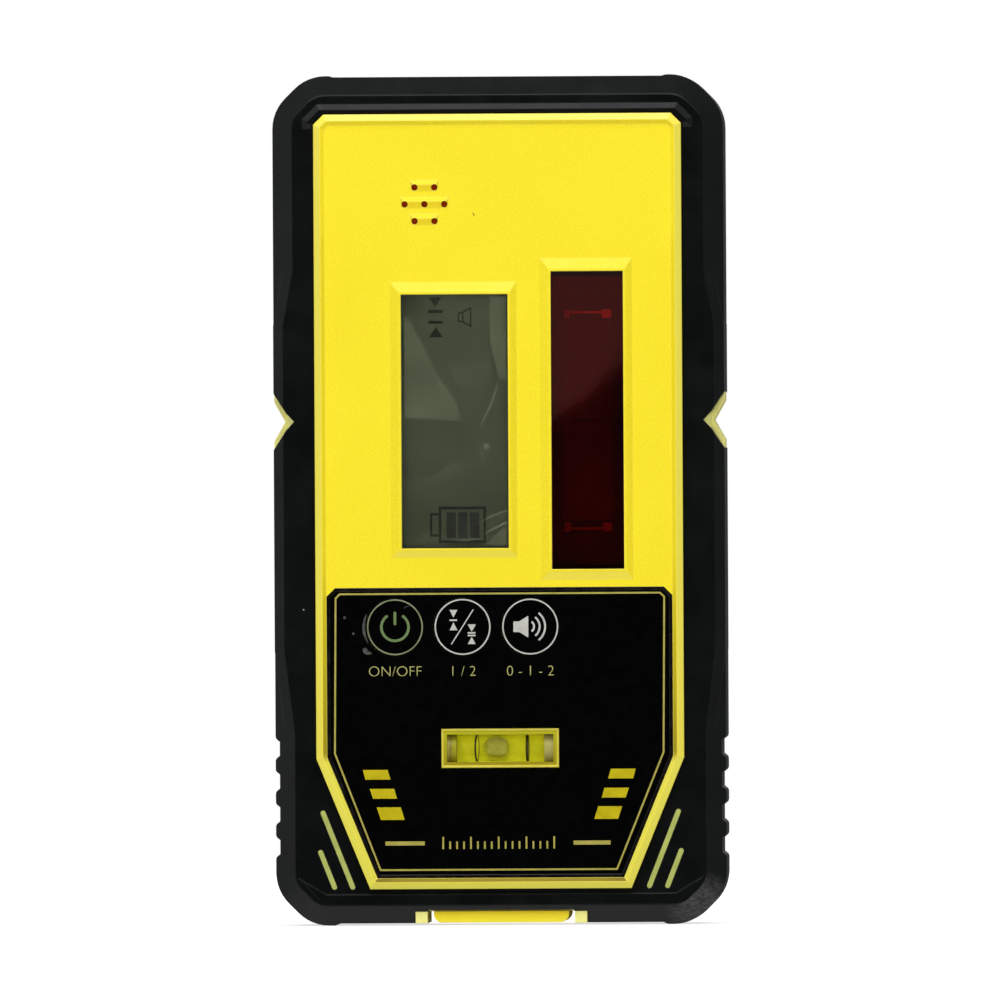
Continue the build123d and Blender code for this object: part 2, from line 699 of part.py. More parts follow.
# Rear shell: cavity, battery bay, hinge block, clamp boss
bay_x = (-BAY_HALF_W, BAY_HALF_W)
contact_x = [(-AA_X - TAIL_HALF_W, -AA_X + TAIL_HALF_W), (AA_X - TAIL_HALF_W, AA_X + TAIL_HALF_W)]
with BuildPart() as rear_shell:
    add(rear_body.part)
    extrude(case_outline(CAVITY_REAR, BUMPER_T + WALL), amount=-CAVITY_REAR, mode=Mode.SUBTRACT)
    rear_hollow = cut_corner_outline(
        REAR_INSIDE, REAR_HALF_W - WALL, REAR_LOW + WALL, REAR_HIGH - WALL, REAR_CUT
    )
    extrude(rear_hollow, amount=CAVITY_REAR - REAR_INSIDE, mode=Mode.SUBTRACT)
    slab(
        grown(bay_x, BAY_WALL),
        (REAR_INSIDE, BAY_FRONT + BAY_FRONT_T),
        (BAY_Z[0] - BAY_BOTTOM_T, BAY_Z[1] + BAY_WALL),
    )
    slab(grown(bay_x, BAY_WALL), (REAR_INSIDE, BAY_LEDGE_ROOT), (BAY_LEDGE_LOW, BAY_Z[0]))
    slab(
        (-HINGE_BLOCK_HALF_W, HINGE_BLOCK_HALF_W),
        (REAR_INSIDE, HINGE_BLOCK_END),
        (BAY_Z[1], HINGE_BLOCK_TOP),
    )
    rods(case_screw_places, REAR_BOSS_R, REAR_BOSS)
    rods([(0, CLAMP_Z)], CLAMP_BOSS_R, (REAR_INSIDE, CLAMP_BOSS_END))
    slab(bay_x, (REAR_FACE, BAY_FRONT), BAY_Z, Mode.SUBTRACT)
    for tail_x in contact_x:
        slab(
            grown(tail_x, TAIL_SLOT_GAP),
            (BAY_FRONT, BAY_FRONT + BAY_FRONT_T),
            (BAY_Z[1] - CONTACT_T - TAIL_SLOT_GAP, BAY_Z[1]),
            Mode.SUBTRACT,
        )
    door_x = grown((-DOOR_HALF_W, DOOR_HALF_W), DOOR_GAP)
    slab(door_x, (REAR_FACE, BAY_LEDGE), (DOOR_LOW - DOOR_GAP, HINGE_Z), Mode.SUBTRACT)
    slab(door_x, (REAR_FACE, HINGE_LEVEL), (HINGE_Z, HINGE_POCKET_TOP), Mode.SUBTRACT)
    axle(HINGE_LEVEL, HINGE_Z, BARREL_POCKET_R, door_x, Mode.SUBTRACT)
    axle(HINGE_LEVEL, HINGE_Z, PIN_SEAT_R, (-PIN_HALF_L, PIN_HALF_L), Mode.SUBTRACT)
    slab(neck_x, (REAR_FACE, REAR_INSIDE), (0, DOOR_LOW), Mode.SUBTRACT)
    rods([(0, CLAMP_Z)], CLAMP_SEAT_R, (REAR_FACE, CLAMP_SEAT), Mode.SUBTRACT)
    rods([(0, CLAMP_Z)], INSERT_HOLE_R, (REAR_FACE, INSERT_END), Mode.SUBTRACT)
    rods(case_screw_places, SCREW_WELL_R, (REAR_FACE, SCREW_SEAT), Mode.SUBTRACT)
    rods(case_screw_places, SCREW_CLEAR_R, (SCREW_SEAT, 0), Mode.SUBTRACT)
    add(case_seal.part, mode=Mode.SUBTRACT)
keep(rear_shell, "rear_shell")


def lens(open_x, open_z, flange_back):
    """Stepped lens that fills an opening, with a flange behind the panel."""
    slab(grown(open_x, -LENS_GAP), (flange_back, LENS_TOP), grown(open_z, -LENS_GAP))
    slab(grown(open_x, LENS_FLANGE), (flange_back, GASKET_BACK), grown(open_z, LENS_FLANGE))


def lens_gasket(open_x, open_z):
    """Flat frame between the lens flange and the panel."""
    levels = (GASKET_BACK, FACE_INSIDE)
    slab(grown(open_x, LENS_FLANGE), levels, grown(open_z, LENS_FLANGE))
    slab(grown(open_x, LENS_GAP), levels, grown(open_z, LENS_GAP), Mode.SUBTRACT)


# Display: stepped clear lens bonded from inside, gasket, glass, holder, light guide, contact strips
lcd_x = middle(LCD_X)
lcd_z = middle(LCD_Z)
glass_x = centred(lcd_x, LCD_GLASS[0])
glass_z = centred(lcd_z, LCD_GLASS[1])
sensor_x = middle(SENSOR_X)
board_front = BOARD_LEVELS[1]

with BuildPart() as lcd_window:
    lens(LCD_X, LCD_Z, LCD_FLANGE_BACK)
keep(lcd_window, "lcd_window")

with BuildPart() as lcd_window_gasket:
    lens_gasket(LCD_X, LCD_Z)
keep(lcd_window_gasket, "lcd_window_gasket")

with BuildPart() as lcd_glass:
    slab(glass_x, LCD_GLASS_LEVELS, glass_z)
keep(lcd_glass, "lcd_glass")

with BuildPart() as lcd_frame:
    levels = (board_front, LCD_GLASS_LEVELS[1])
    hold_x = grown(glass_x, LCD_FRAME_GAP)
    hold_z = grown(glass_z, LCD_FRAME_GAP)
    slab(grown(hold_x, LCD_FRAME_T), levels, grown(hold_z, LCD_FRAME_T))
    slab(hold_x, levels, hold_z, Mode.SUBTRACT)
keep(lcd_frame, "lcd_frame")

with BuildPart() as lcd_connector_strips:
    for z_span in (
        (glass_z[0], glass_z[0] + LCD_STRIP_W),
        (glass_z[1] - LCD_STRIP_W, glass_z[1]),
    ):
        slab(centred(lcd_x, LCD_STRIP_L), (board_front, LCD_GLASS_LEVELS[0]), z_span)
keep(lcd_connector_strips, "lcd_connector_strips")

with BuildPart() as lcd_backlight:
    slab(centred(lcd_x, LCD_LIGHT[0]), LCD_LIGHT_LEVELS, centred(lcd_z, LCD_LIGHT[1]))
keep(lcd_backlight, "lcd_backlight")

# Sensor: red filter, gasket, two photocells above and below the marked height, board, header
with BuildPart() as receiver_window:
    lens(SENSOR_X, SENSOR_Z, SENSOR_FLANGE_BACK)
keep(receiver_window, "receiver_window")

with BuildPart() as receiver_window_gasket:
    lens_gasket(SENSOR_X, SENSOR_Z)
keep(receiver_window_gasket, "receiver_window_gasket")

with BuildPart() as sensor_board:
    slab(centred(sensor_x, SENSOR_BOARD[0]), SENSOR_BOARD_LEVELS, centred(MARK_Z, SENSOR_BOARD[1]))
keep(sensor_board, "sensor_board")

cell_levels = (SENSOR_BOARD_LEVELS[1], SENSOR_BOARD_LEVELS[1] + CELL_T)
ribbon_levels = (SENSOR_BOARD_LEVELS[1], SENSOR_BOARD_LEVELS[1] + RIBBON_T)
with BuildPart() as photocells:
    for side in (-1, 1):
        cell_z = MARK_Z + side * (CELL_GAP + CELL_SIZE[1]) / 2
        slab(centred(sensor_x, CELL_SIZE[0]), cell_levels, centred(cell_z, CELL_SIZE[1]))
keep(photocells, "photocells")

with BuildPart() as photocell_ribbons:
    for side in (-1, 1):
        ribbon_z = MARK_Z + side * RIBBON_OFFSET
        slab(centred(sensor_x, RIBBON_LENGTH), ribbon_levels, centred(ribbon_z, RIBBON_W))
        pad_z = ribbon_z + side * (RIBBON_PAD_OUTER - RIBBON_PAD_H / 2)
        for end, pad_w in RIBBON_PAD_W.items():
            pad_x = sensor_x + end * (RIBBON_LENGTH - pad_w) / 2
            slab(centred(pad_x, pad_w), ribbon_levels, centred(pad_z, RIBBON_PAD_H))
keep(photocell_ribbons, "photocell_ribbons")

with BuildPart() as sensor_header:
    slab(centred(sensor_x, HEADER[0]), (board_front, SENSOR_BOARD_LEVELS[0]), centred(HEADER_Z, HEADER[1]))
keep(sensor_header, "sensor_header")

# Main board with its parts, and the four screws that hold it to the front shell
with BuildPart() as main_board:
    slab((-BOARD_HALF_W, BOARD_HALF_W), BOARD_LEVELS, BOARD_Z)
    rods(standoffs, BOARD_HOLE_R, BOARD_LEVELS, Mode.SUBTRACT)
keep(main_board, "main_board")

with BuildPart() as controller_chip:
    chip_x, chip_z, chip_w, chip_h, chip_t = CHIP
    slab(centred(chip_x, chip_w), (BOARD_LEVELS[0] - chip_t, BOARD_LEVELS[0]), centred(chip_z, chip_h))
keep(controller_chip, "controller_chip")

with BuildPart() as amplifier_chips:
    for x, z in AMPLIFIERS:
        amplifier_levels = (BOARD_LEVELS[0] - AMPLIFIER[2], BOARD_LEVELS[0])
        slab(centred(x, AMPLIFIER[0]), amplifier_levels, centred(z, AMPLIFIER[1]))
keep(amplifier_chips, "amplifier_chips")

with BuildPart() as capacitors:
    rods(CAPACITORS, CAPACITOR_R, (BOARD_LEVELS[0] - CAPACITOR_H, BOARD_LEVELS[0]))
keep(capacitors, "capacitors")

with BuildPart() as board_screws:
    rods(standoffs, BOARD_SCREW_HEAD_R, (BOARD_LEVELS[0] - BOARD_SCREW_HEAD_T, BOARD_LEVELS[0]))
    rods(standoffs, BOARD_SCREW_R, (BOARD_LEVELS[0] - BOARD_SCREW_HEAD_T, BOARD_SCREW_END))
keep(board_screws, "board_screws")

# Sounder and the vent skin behind the holes
with BuildPart() as buzzer:
    rods([SPEAKER], BUZZER_R, BUZZER_LEVELS)
    rods([SPEAKER], BUZZER_PORT_R, (BUZZER_LEVELS[1] - BUZZER_CUP_T, BUZZER_LEVELS[1]), Mode.SUBTRACT)
keep(buzzer, "buzzer")

with BuildPart() as buzzer_membrane:
    rods([SPEAKER], MEMBRANE_R, (FACE_INSIDE - MEMBRANE_T, FACE_INSIDE))
keep(buzzer_membrane, "buzzer_membrane")

# Keypad: film, then each key with its stem, and the push switches under them
film_top = KEYPAD_FLOOR + FILM_T
with BuildPart() as keypad_overlay:
    extrude(keypad_outline(KEYPAD_FLOOR, FILM_GAP), amount=FILM_T)
    chamfer(keypad_overlay.faces().sort_by(Axis.Y)[0].edges(), FILM_EDGE)
    rods(key_centres, KEY_R + KEY_GAP, (KEYPAD_FLOOR, film_top), Mode.SUBTRACT)
    slab(vial_window_x, (KEYPAD_FLOOR, film_top), vial_window_z, Mode.SUBTRACT)
keep(keypad_overlay, "keypad_overlay")

for key_name, centre in zip(KEY_NAMES, key_centres):
    with BuildPart() as key:
        rods([centre], KEY_R, (film_top - KEY_T, film_top))
        rods([centre], KEY_STEM_R, (KEY_STEM_END, film_top))
    keep(key, f"{key_name}_key")
    with BuildPart() as switch_stem:
        rods([centre], SWITCH_STEM_R, (SWITCH_STEM_END, KEY_STEM_END))
    keep(switch_stem, f"{key_name}_switch_stem")

with BuildPart() as key_switches:
    for x, z in key_centres:
        slab(centred(x, SWITCH_SIDE), (board_front, SWITCH_TOP), centred(z, SWITCH_SIDE))
    rods(key_centres, SWITCH_BORE_R, (SWITCH_BORE_END, SWITCH_TOP), Mode.SUBTRACT)
keep(key_switches, "key_switches")

# Bubble vial: cradle with a flange behind the panel, bored block, end plugs, two rings, bubble
vial_x = centred(0, VIAL_BLOCK[0])
with BuildPart() as vial_cradle:
    frame_x = centred(0, VIAL_FRAME[0])
    frame_z = centred(VIAL_Z, VIAL_FRAME[1])
    slab(frame_x, (VIAL_CRADLE_BACK, VIAL_FRAME_TOP), frame_z)
    slab(centred(0, VIAL_FLANGE[0]), (VIAL_FLANGE_BACK, FACE_INSIDE), centred(VIAL_Z, VIAL_FLANGE[1]))
    slab(
        grown(frame_x, -VIAL_FRAME_T),
        (VIAL_POCKET_END, VIAL_FRAME_TOP),
        grown(frame_z, -VIAL_FRAME_T),
        Mode.SUBTRACT,
    )
    mouth = vial_cradle.faces().sort_by(Axis.Y)[0].inner_wires()[0]
    chamfer(mouth.edges(), VIAL_FRAME_EDGE)
keep(vial_cradle, "vial_cradle")

with BuildPart() as vial_block:
    slab(vial_x, (VIAL_POCKET_END, VIAL_BLOCK_FRONT), centred(VIAL_Z, VIAL_BLOCK[1]))
    axle(VIAL_AXIS, VIAL_Z, VIAL_BORE_R, vial_x, Mode.SUBTRACT)
keep(vial_block, "vial_block")

with BuildPart() as vial_plugs:
    axle(VIAL_AXIS, VIAL_Z, VIAL_PLUG_R, (vial_x[0], vial_x[0] + VIAL_PLUG_LENGTH))
    axle(VIAL_AXIS, VIAL_Z, VIAL_PLUG_R, (vial_x[1] - VIAL_PLUG_LENGTH, vial_x[1]))
keep(vial_plugs, "vial_plugs")

with BuildPart() as vial_rings:
    for side in (-1, 1):
        ring_x = centred(side * VIAL_RING_X, VIAL_RING_W)
        axle(VIAL_AXIS, VIAL_Z, VIAL_BORE_R, ring_x)
        axle(VIAL_AXIS, VIAL_Z, VIAL_BORE_R - VIAL_RING_T, ring_x, Mode.SUBTRACT)
keep(vial_rings, "vial_rings")

with BuildPart() as vial_bubble:
    bubble_plane = Plane(origin=(BUBBLE_X, -VIAL_AXIS, VIAL_Z), x_dir=(1, 0, 0), z_dir=(0, -1, 0))
    with BuildSketch(bubble_plane) as bubble_half:
        Ellipse(BUBBLE_HALF_L, BUBBLE_R)
        with Locations((0, -BUBBLE_R)):
            Rectangle(4 * BUBBLE_HALF_L, 2 * BUBBLE_R, mode=Mode.SUBTRACT)
    revolve(bubble_half.sketch, axis=Axis((BUBBLE_X, -VIAL_AXIS, VIAL_Z), (1, 0, 0)))
keep(vial_bubble, "vial_bubble")

# Brass insert for the rod clamp, blind at its inner end
with BuildPart() as clamp_insert:
    rods([(0, CLAMP_Z)], INSERT_R, (CLAMP_SEAT, INSERT_END))
    rods([(0, CLAMP_Z)], INSERT_THREAD_R, (CLAMP_SEAT, INSERT_THREAD_END), Mode.SUBTRACT)
keep(clamp_insert, "clamp_insert")

# Case screws with cross recesses
with BuildPart() as case_screws:
    rods(case_screw_places, SCREW_R, (SCREW_SEAT, SCREW_TIP))
    rods(case_screw_places, SCREW_HEAD_R, (SCREW_SEAT - SCREW_HEAD_T, SCREW_SEAT))
    cross_levels = (SCREW_SEAT - SCREW_HEAD_T, SCREW_SEAT - SCREW_HEAD_T + SCREW_CROSS[2])
    for x, z in case_screw_places:
        for long_way, short_way in (SCREW_CROSS[:2], SCREW_CROSS[1::-1]):
            slab(centred(x, long_way), cross_levels, centred(z, short_way), Mode.SUBTRACT)
keep(case_screws, "case_screws")

# Battery door, its seal and its hinge pin
door_inside = REAR_FACE + DOOR_T
with BuildPart() as battery_door:
    slab(centred(0, 2 * NECK_HALF_W), (REAR_FACE, TAB_FRONT), (TAB_LOW, TAB_TOP))
    tab_corners = battery_door.edges().filter_by(Axis.Y).group_by(Axis.Z)[0]
    fillet(tab_corners, TAB_ROUND)
    slab(centred(0, 2 * NECK_HALF_W), (REAR_FACE, door_inside), (TAB_TOP, DOOR_LOW))
    with BuildSketch(Plane.YZ.offset(-NECK_HALF_W)) as bevel_corner:
        with BuildLine():
            Polyline(
                (-REAR_FACE, TAB_LOW),
                (-REAR_FACE, TAB_LOW + TAB_BEVEL),
                (-REAR_FACE - TAB_BEVEL, TAB_LOW),
                close=True,
            )
        make_face()
    extrude(bevel_corner.sketch, amount=2 * NECK_HALF_W, mode=Mode.SUBTRACT)
    slab(centred(0, 2 * DOOR_HALF_W), (REAR_FACE, door_inside), (DOOR_LOW, HINGE_Z))
    axle(HINGE_LEVEL, HINGE_Z, BARREL_R, (-BARREL_HALF_L, BARREL_HALF_L))
    axle(HINGE_LEVEL, HINGE_Z, PIN_HOLE_R, (-DOOR_HALF_W, DOOR_HALF_W), Mode.SUBTRACT)
    for rib in range(DOOR_RIBS):
        rib_z = DOOR_RIB_Z + rib * DOOR_RIB_PITCH
        slab(centred(0, DOOR_RIB[0]), (REAR_FACE - DOOR_RIB[2], REAR_FACE), centred(rib_z, DOOR_RIB[1]))
keep(battery_door, "battery_door")

with BuildPart() as door_seal:
    seal_levels = (door_inside, BAY_LEDGE)
    slab(centred(0, 2 * DOOR_SEAL_X[1]), seal_levels, (DOOR_SEAL_LOW[0], DOOR_SEAL_HIGH[1]))
    slab(centred(0, 2 * DOOR_SEAL_X[0]), seal_levels, (DOOR_SEAL_LOW[1], DOOR_SEAL_HIGH[0]), Mode.SUBTRACT)
keep(door_seal, "door_seal")

with BuildPart() as hinge_pin:
    axle(HINGE_LEVEL, HINGE_Z, PIN_R, (-PIN_HALF_L, PIN_HALF_L))
keep(hinge_pin, "hinge_pin")

# Battery contacts. The right cell stands with its nub up, the left one with its nub down
bridge_top = BAY_Z[0] + CONTACT_T
plate_low = BAY_Z[1] - CONTACT_T
left_cell_low = bridge_top + CONTACT_DIMPLE
right_cell_top = plate_low - CONTACT_DIMPLE
with BuildPart() as contact_bridge:
    slab(centred(0, 2 * (AA_X + CONTACT_HALF_W)), CONTACT_LEVELS, (BAY_Z[0], bridge_top))
    with BuildSketch(Plane.XY.offset(bridge_top)) as bridge_dimple:
        with Locations((-AA_X, -AA_LEVEL)):
            Circle(CONTACT_DIMPLE_R)
    extrude(bridge_dimple.sketch, amount=CONTACT_DIMPLE)
keep(contact_bridge, "contact_bridge")

with BuildPart() as contact_positive:
    slab(centred(AA_X, 2 * CONTACT_HALF_W), CONTACT_LEVELS, (plate_low, BAY_Z[1]))
    slab(contact_x[1], (CONTACT_LEVELS[1], TAIL_END), (plate_low, BAY_Z[1]))
    with BuildSketch(Plane.XY.offset(right_cell_top)) as plate_dimple:
        with Locations((AA_X, -AA_LEVEL)):
            Circle(CONTACT_DIMPLE_R)
    extrude(plate_dimple.sketch, amount=CONTACT_DIMPLE)
keep(contact_positive, "contact_positive")

with BuildPart() as contact_negative:
    slab(centred(-AA_X, 2 * CONTACT_HALF_W), CONTACT_LEVELS, (plate_low, BAY_Z[1]))
    slab(contact_x[0], (CONTACT_LEVELS[1], TAIL_END), (plate_low, BAY_Z[1]))
keep(contact_negative, "contact_negative")

with BuildPart() as battery_cells:
    for x, low, up in ((AA_X, right_cell_top - AA_LENGTH, 1), (-AA_X, left_cell_low, -1)):
        body_low = low if up > 0 else low + AA_NUB
        with BuildSketch(Plane.XY.offset(body_low)) as cell_end:
            with Locations((x, -AA_LEVEL)):
                Circle(AA_R)
        extrude(cell_end.sketch, amount=AA_LENGTH - AA_NUB)
        with BuildSketch(Plane.XY.offset(low)) as cell_core:
            with Locations((x, -AA_LEVEL)):
                Circle(AA_NUB_R)
        extrude(cell_core.sketch, amount=AA_LENGTH)
keep(battery_cells, "battery_cells")

# Leaf springs folded from strip, one under the right cell and one over the left cell
spring_room = right_cell_top - AA_LENGTH - bridge_top
with BuildPart() as battery_springs:
    for x, foot, up in ((AA_X, bridge_top, 1), (-AA_X, plate_low, -1)):
        rise = spring_room - SPRING_T - SPRING_BEND
        strip = [(-level, foot + up * (SPRING_T / 2 + share * rise)) for level, share in SPRING_FOLD]
        with BuildSketch(Plane.YZ.offset(x - SPRING_W / 2)) as strip_edge:
            with BuildLine():
                FilletPolyline(*strip, radius=SPRING_BEND)
            trace(line_width=SPRING_T)
        extrude(strip_edge.sketch, amount=SPRING_W)
keep(battery_springs, "battery_springs")
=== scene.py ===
import math

import bmesh
import bpy
from mathutils import Matrix, Vector


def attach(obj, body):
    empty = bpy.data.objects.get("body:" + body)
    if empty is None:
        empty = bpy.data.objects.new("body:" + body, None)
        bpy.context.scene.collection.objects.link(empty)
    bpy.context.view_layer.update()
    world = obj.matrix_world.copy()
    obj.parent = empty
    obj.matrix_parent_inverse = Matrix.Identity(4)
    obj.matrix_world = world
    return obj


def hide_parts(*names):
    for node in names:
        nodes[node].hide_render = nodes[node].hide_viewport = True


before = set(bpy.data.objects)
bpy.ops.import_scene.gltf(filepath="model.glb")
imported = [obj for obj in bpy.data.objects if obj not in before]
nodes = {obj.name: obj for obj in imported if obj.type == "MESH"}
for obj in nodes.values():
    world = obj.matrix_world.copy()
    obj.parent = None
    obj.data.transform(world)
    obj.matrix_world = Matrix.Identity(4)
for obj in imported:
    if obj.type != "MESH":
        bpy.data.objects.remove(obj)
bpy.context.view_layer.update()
MM = 0.001

# Front shell: the yellow front half of the case, injection moulded in ABS. The mould is spark
# eroded, which leaves an even fine grain. Edges are rubbed smooth by handling, and the paler
# colour along them is also a painted highlight. Light is painted on by the way faces turn:
# painted shade on the frames' side slopes, on the rim's inner slope round the film and under the
# sounder ridges, painted sheen on the rim's sides and foot and under the windows, and a painted
# highlight on top of the rim. Thin blocks in the side marks and beside the base cut-out are
# painted paler than the slopes of the frames and the rim, a painted light for the shade they
# sit in.
SPEAKER_X, SPEAKER_Z = -12.6, 124.7
FRAME_SLOPE_PAINTED_SHADE = (0.93, 0.92, 0.95)
FILM_WALL_PAINTED_SHADE = (0.34, 0.31, 0.10)
SOUNDER_PAINTED_SHADE = (1.0, 0.94, 0.05)
RIM_SIDE_PAINTED_SHEEN = (0.78, 0.68, 0.068)
RIM_FOOT_PAINTED_SHEEN = (0.84, 0.765, 0.085)
RIM_CROWN_PAINTED_HIGHLIGHT = (0.92, 0.80, 0.11)
SILL_PAINTED_SHEEN = (0.93, 0.78, 0.06)
BLOCK_PAINTED_LIGHT = (0.97, 0.93, 0.30)
RUBBED_HIGHLIGHT_YELLOW = (0.94, 0.83, 0.20)
RUBBED_HIGHLIGHT_SHARE = 0.5
GRAIN_HEIGHT = 0.01 * MM


def new_finish(name, color, roughness, **constants):
    """New material. Constants are other values of its shader, with _ for a space."""
    material = bpy.data.materials.new(name)
    material.use_nodes = True
    shader = material.node_tree.nodes["Principled BSDF"]
    shader.inputs["Base Color"].default_value = (*color, 1)
    shader.inputs["Roughness"].default_value = roughness
    for socket, value in constants.items():
        shader.inputs[socket.replace("_", " ")].default_value = value
    return material


def add_node(owner, kind, **inputs):
    """New node in a material or the room. Inputs are its values, with _ for a space."""
    node = owner.node_tree.nodes.new(kind)
    for socket, value in inputs.items():
        node.inputs[socket.replace("_", " ")].default_value = value
    return node


def join(owner, source, target):
    """Link two sockets."""
    owner.node_tree.links.new(source, target)


def combine(owner, operation, first, second):
    """Result of an operation on two sockets, or on a socket and a number."""
    node = add_node(owner, "ShaderNodeMath")
    node.operation = operation
    join(owner, first, node.inputs[0])
    if isinstance(second, float):
        node.inputs[1].default_value = second
    else:
        join(owner, second, node.inputs[1])
    return node.outputs["Value"]


def shader_input(material, socket):
    """A socket of the material's shader."""
    return material.node_tree.nodes["Principled BSDF"].inputs[socket]


def patches(material, size, detail=2.0, stretch=(1, 1, 1)):
    """Cloudy pattern with patches of about a given size in metres, fixed to the piece."""
    place = add_node(material, "ShaderNodeTexCoord")
    turn = add_node(material, "ShaderNodeMapping", Scale=stretch)
    noise = add_node(material, "ShaderNodeTexNoise", Scale=1 / size, Detail=detail)
    join(material, place.outputs["Object"], turn.inputs["Vector"])
    join(material, turn.outputs["Vector"], noise.inputs["Vector"])
    return noise.outputs["Fac"]


def across(material, axis, start, end):
    """Slope from 0 to 1 between two places along an axis, in millimetres, fixed to the piece."""
    place = add_node(material, "ShaderNodeTexCoord")
    parts = add_node(material, "ShaderNodeSeparateXYZ")
    slope = add_node(material, "ShaderNodeMapRange", From_Min=start * MM, From_Max=end * MM)
    join(material, place.outputs["Object"], parts.inputs["Vector"])
    join(material, parts.outputs[axis], slope.inputs["Value"])
    return slope.outputs["Result"]


def sharpen(material, pattern, low=0.36, high=0.64):
    """A pattern with more contrast, from 0 to 1."""
    ranged = add_node(material, "ShaderNodeMapRange", From_Min=low, From_Max=high)
    join(material, pattern, ranged.inputs["Value"])
    return ranged.outputs["Result"]


def facing(material, way, start, end):
    """From 0 to 1 as a face turns the given way, by the share of its normal along it."""
    place = add_node(material, "ShaderNodeTexCoord")
    along = add_node(material, "ShaderNodeVectorMath")
    along.operation = "DOT_PRODUCT"
    along.inputs[1].default_value = way
    join(material, place.outputs["Normal"], along.inputs[0])
    return sharpen(material, along.outputs["Value"], start, end)


def near(material, centre, far, close):
    """From 0 to 1 as a point comes nearer to a centre, all in millimetres."""
    place = add_node(material, "ShaderNodeTexCoord")
    gap = add_node(material, "ShaderNodeVectorMath")
    gap.operation = "DISTANCE"
    gap.inputs[1].default_value = Vector(centre) * MM
    join(material, place.outputs["Object"], gap.inputs[0])
    return sharpen(material, gap.outputs["Value"], far * MM, close * MM)


def both(material, *masks):
    """Product of masks."""
    product = masks[0]
    for mask in masks[1:]:
        product = combine(material, "MULTIPLY", product, mask)
    return product


def vary_color(material, pattern, low, high, span=(0.35, 0.65)):
    """Base colour that runs from low to high over a span of a pattern."""
    ramp = add_node(material, "ShaderNodeValToRGB")
    for stop, place, color in zip(ramp.color_ramp.elements, span, (low, high)):
        stop.position = place
        stop.color = (*color, 1)
    join(material, pattern, ramp.inputs["Fac"])
    join(material, ramp.outputs["Color"], shader_input(material, "Base Color"))


def vary_value(material, socket, pattern, low, high, span=(0.35, 0.65)):
    """Shader value that runs from low to high over a span of a pattern."""
    ranged = add_node(
        material, "ShaderNodeMapRange", From_Min=span[0], From_Max=span[1], To_Min=low, To_Max=high
    )
    join(material, pattern, ranged.inputs["Value"])
    join(material, ranged.outputs["Result"], shader_input(material, socket))


def tint(material, mask, color, how="MIX"):
    """Lay another colour over the base colour, by a mask or a share."""
    blend = add_node(material, "ShaderNodeMixRGB", Color2=(*color, 1))
    blend.blend_type = how
    base = shader_input(material, "Base Color")
    join(material, base.links[0].from_socket, blend.inputs["Color1"])
    join(material, mask, blend.inputs["Fac"])
    join(material, blend.outputs["Color"], base)


def emboss(material, pattern, height):
    """Relief of a given height in metres that follows a pattern, over any relief already there."""
    bump = add_node(material, "ShaderNodeBump", Distance=height, Strength=1.0)
    normal = shader_input(material, "Normal")
    if normal.is_linked:
        join(material, normal.links[0].from_socket, bump.inputs["Normal"])
    join(material, pattern, bump.inputs["Height"])
    join(material, bump.outputs["Normal"], normal)


def mottle(material, size, low, high, detail=2.0, stretch=(1, 1, 1)):
    """Base colour in cloudy patches of about a given size in metres."""
    vary_color(material, patches(material, size, detail, stretch), low, high)


def uneven_gloss(material, size, low, high, detail=2.0, stretch=(1, 1, 1)):
    """Roughness in cloudy patches of about a given size in metres."""
    vary_value(material, "Roughness", patches(material, size, detail, stretch), low, high)


def roughen(material, size, height, detail=2.0):
    """Cloudy relief with patches of about a given size, both in metres."""
    emboss(material, patches(material, size, detail), height)


def soften_edges(material, radius, edge_tint, share):
    """Small radius on sharp edges, and a paler colour along them: edge wear and a painted
    highlight.
    """
    bevel = add_node(material, "ShaderNodeBevel", Radius=radius)
    bevel.samples = 6
    surface = add_node(material, "ShaderNodeNewGeometry")
    bend = add_node(material, "ShaderNodeVectorMath")
    bend.operation = "DOT_PRODUCT"
    join(material, bevel.outputs["Normal"], bend.inputs[0])
    join(material, surface.outputs["Normal"], bend.inputs[1])
    wear_and_highlight = add_node(
        material, "ShaderNodeMapRange", From_Min=0.995, From_Max=0.85, To_Min=0.0, To_Max=share
    )
    join(material, bend.outputs["Value"], wear_and_highlight.inputs["Value"])
    tint(material, wear_and_highlight.outputs["Result"], edge_tint)
    join(material, bevel.outputs["Normal"], shader_input(material, "Normal"))


def dress(material, *names):
    """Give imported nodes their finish."""
    for name in names:
        for slot in nodes[name].material_slots:
            slot.material = material


def grained_yellow(name):
    """Yellow ABS as it leaves the mould, and the pattern of its grain."""
    yellow = new_finish(name, (0.905, 0.745, 0.013), 0.45, Specular_IOR_Level=0.5)
    mottle(yellow, 22 * MM, (0.895, 0.735, 0.011), (0.915, 0.755, 0.015))
    uneven_gloss(yellow, 6 * MM, 0.42, 0.5)
    grain = sharpen(yellow, patches(yellow, 0.28 * MM, 3.0))
    tint(yellow, grain, (0.92, 0.915, 0.2), "MULTIPLY")
    return yellow, grain


yellow_abs, yellow_grain = grained_yellow("yellow_abs")
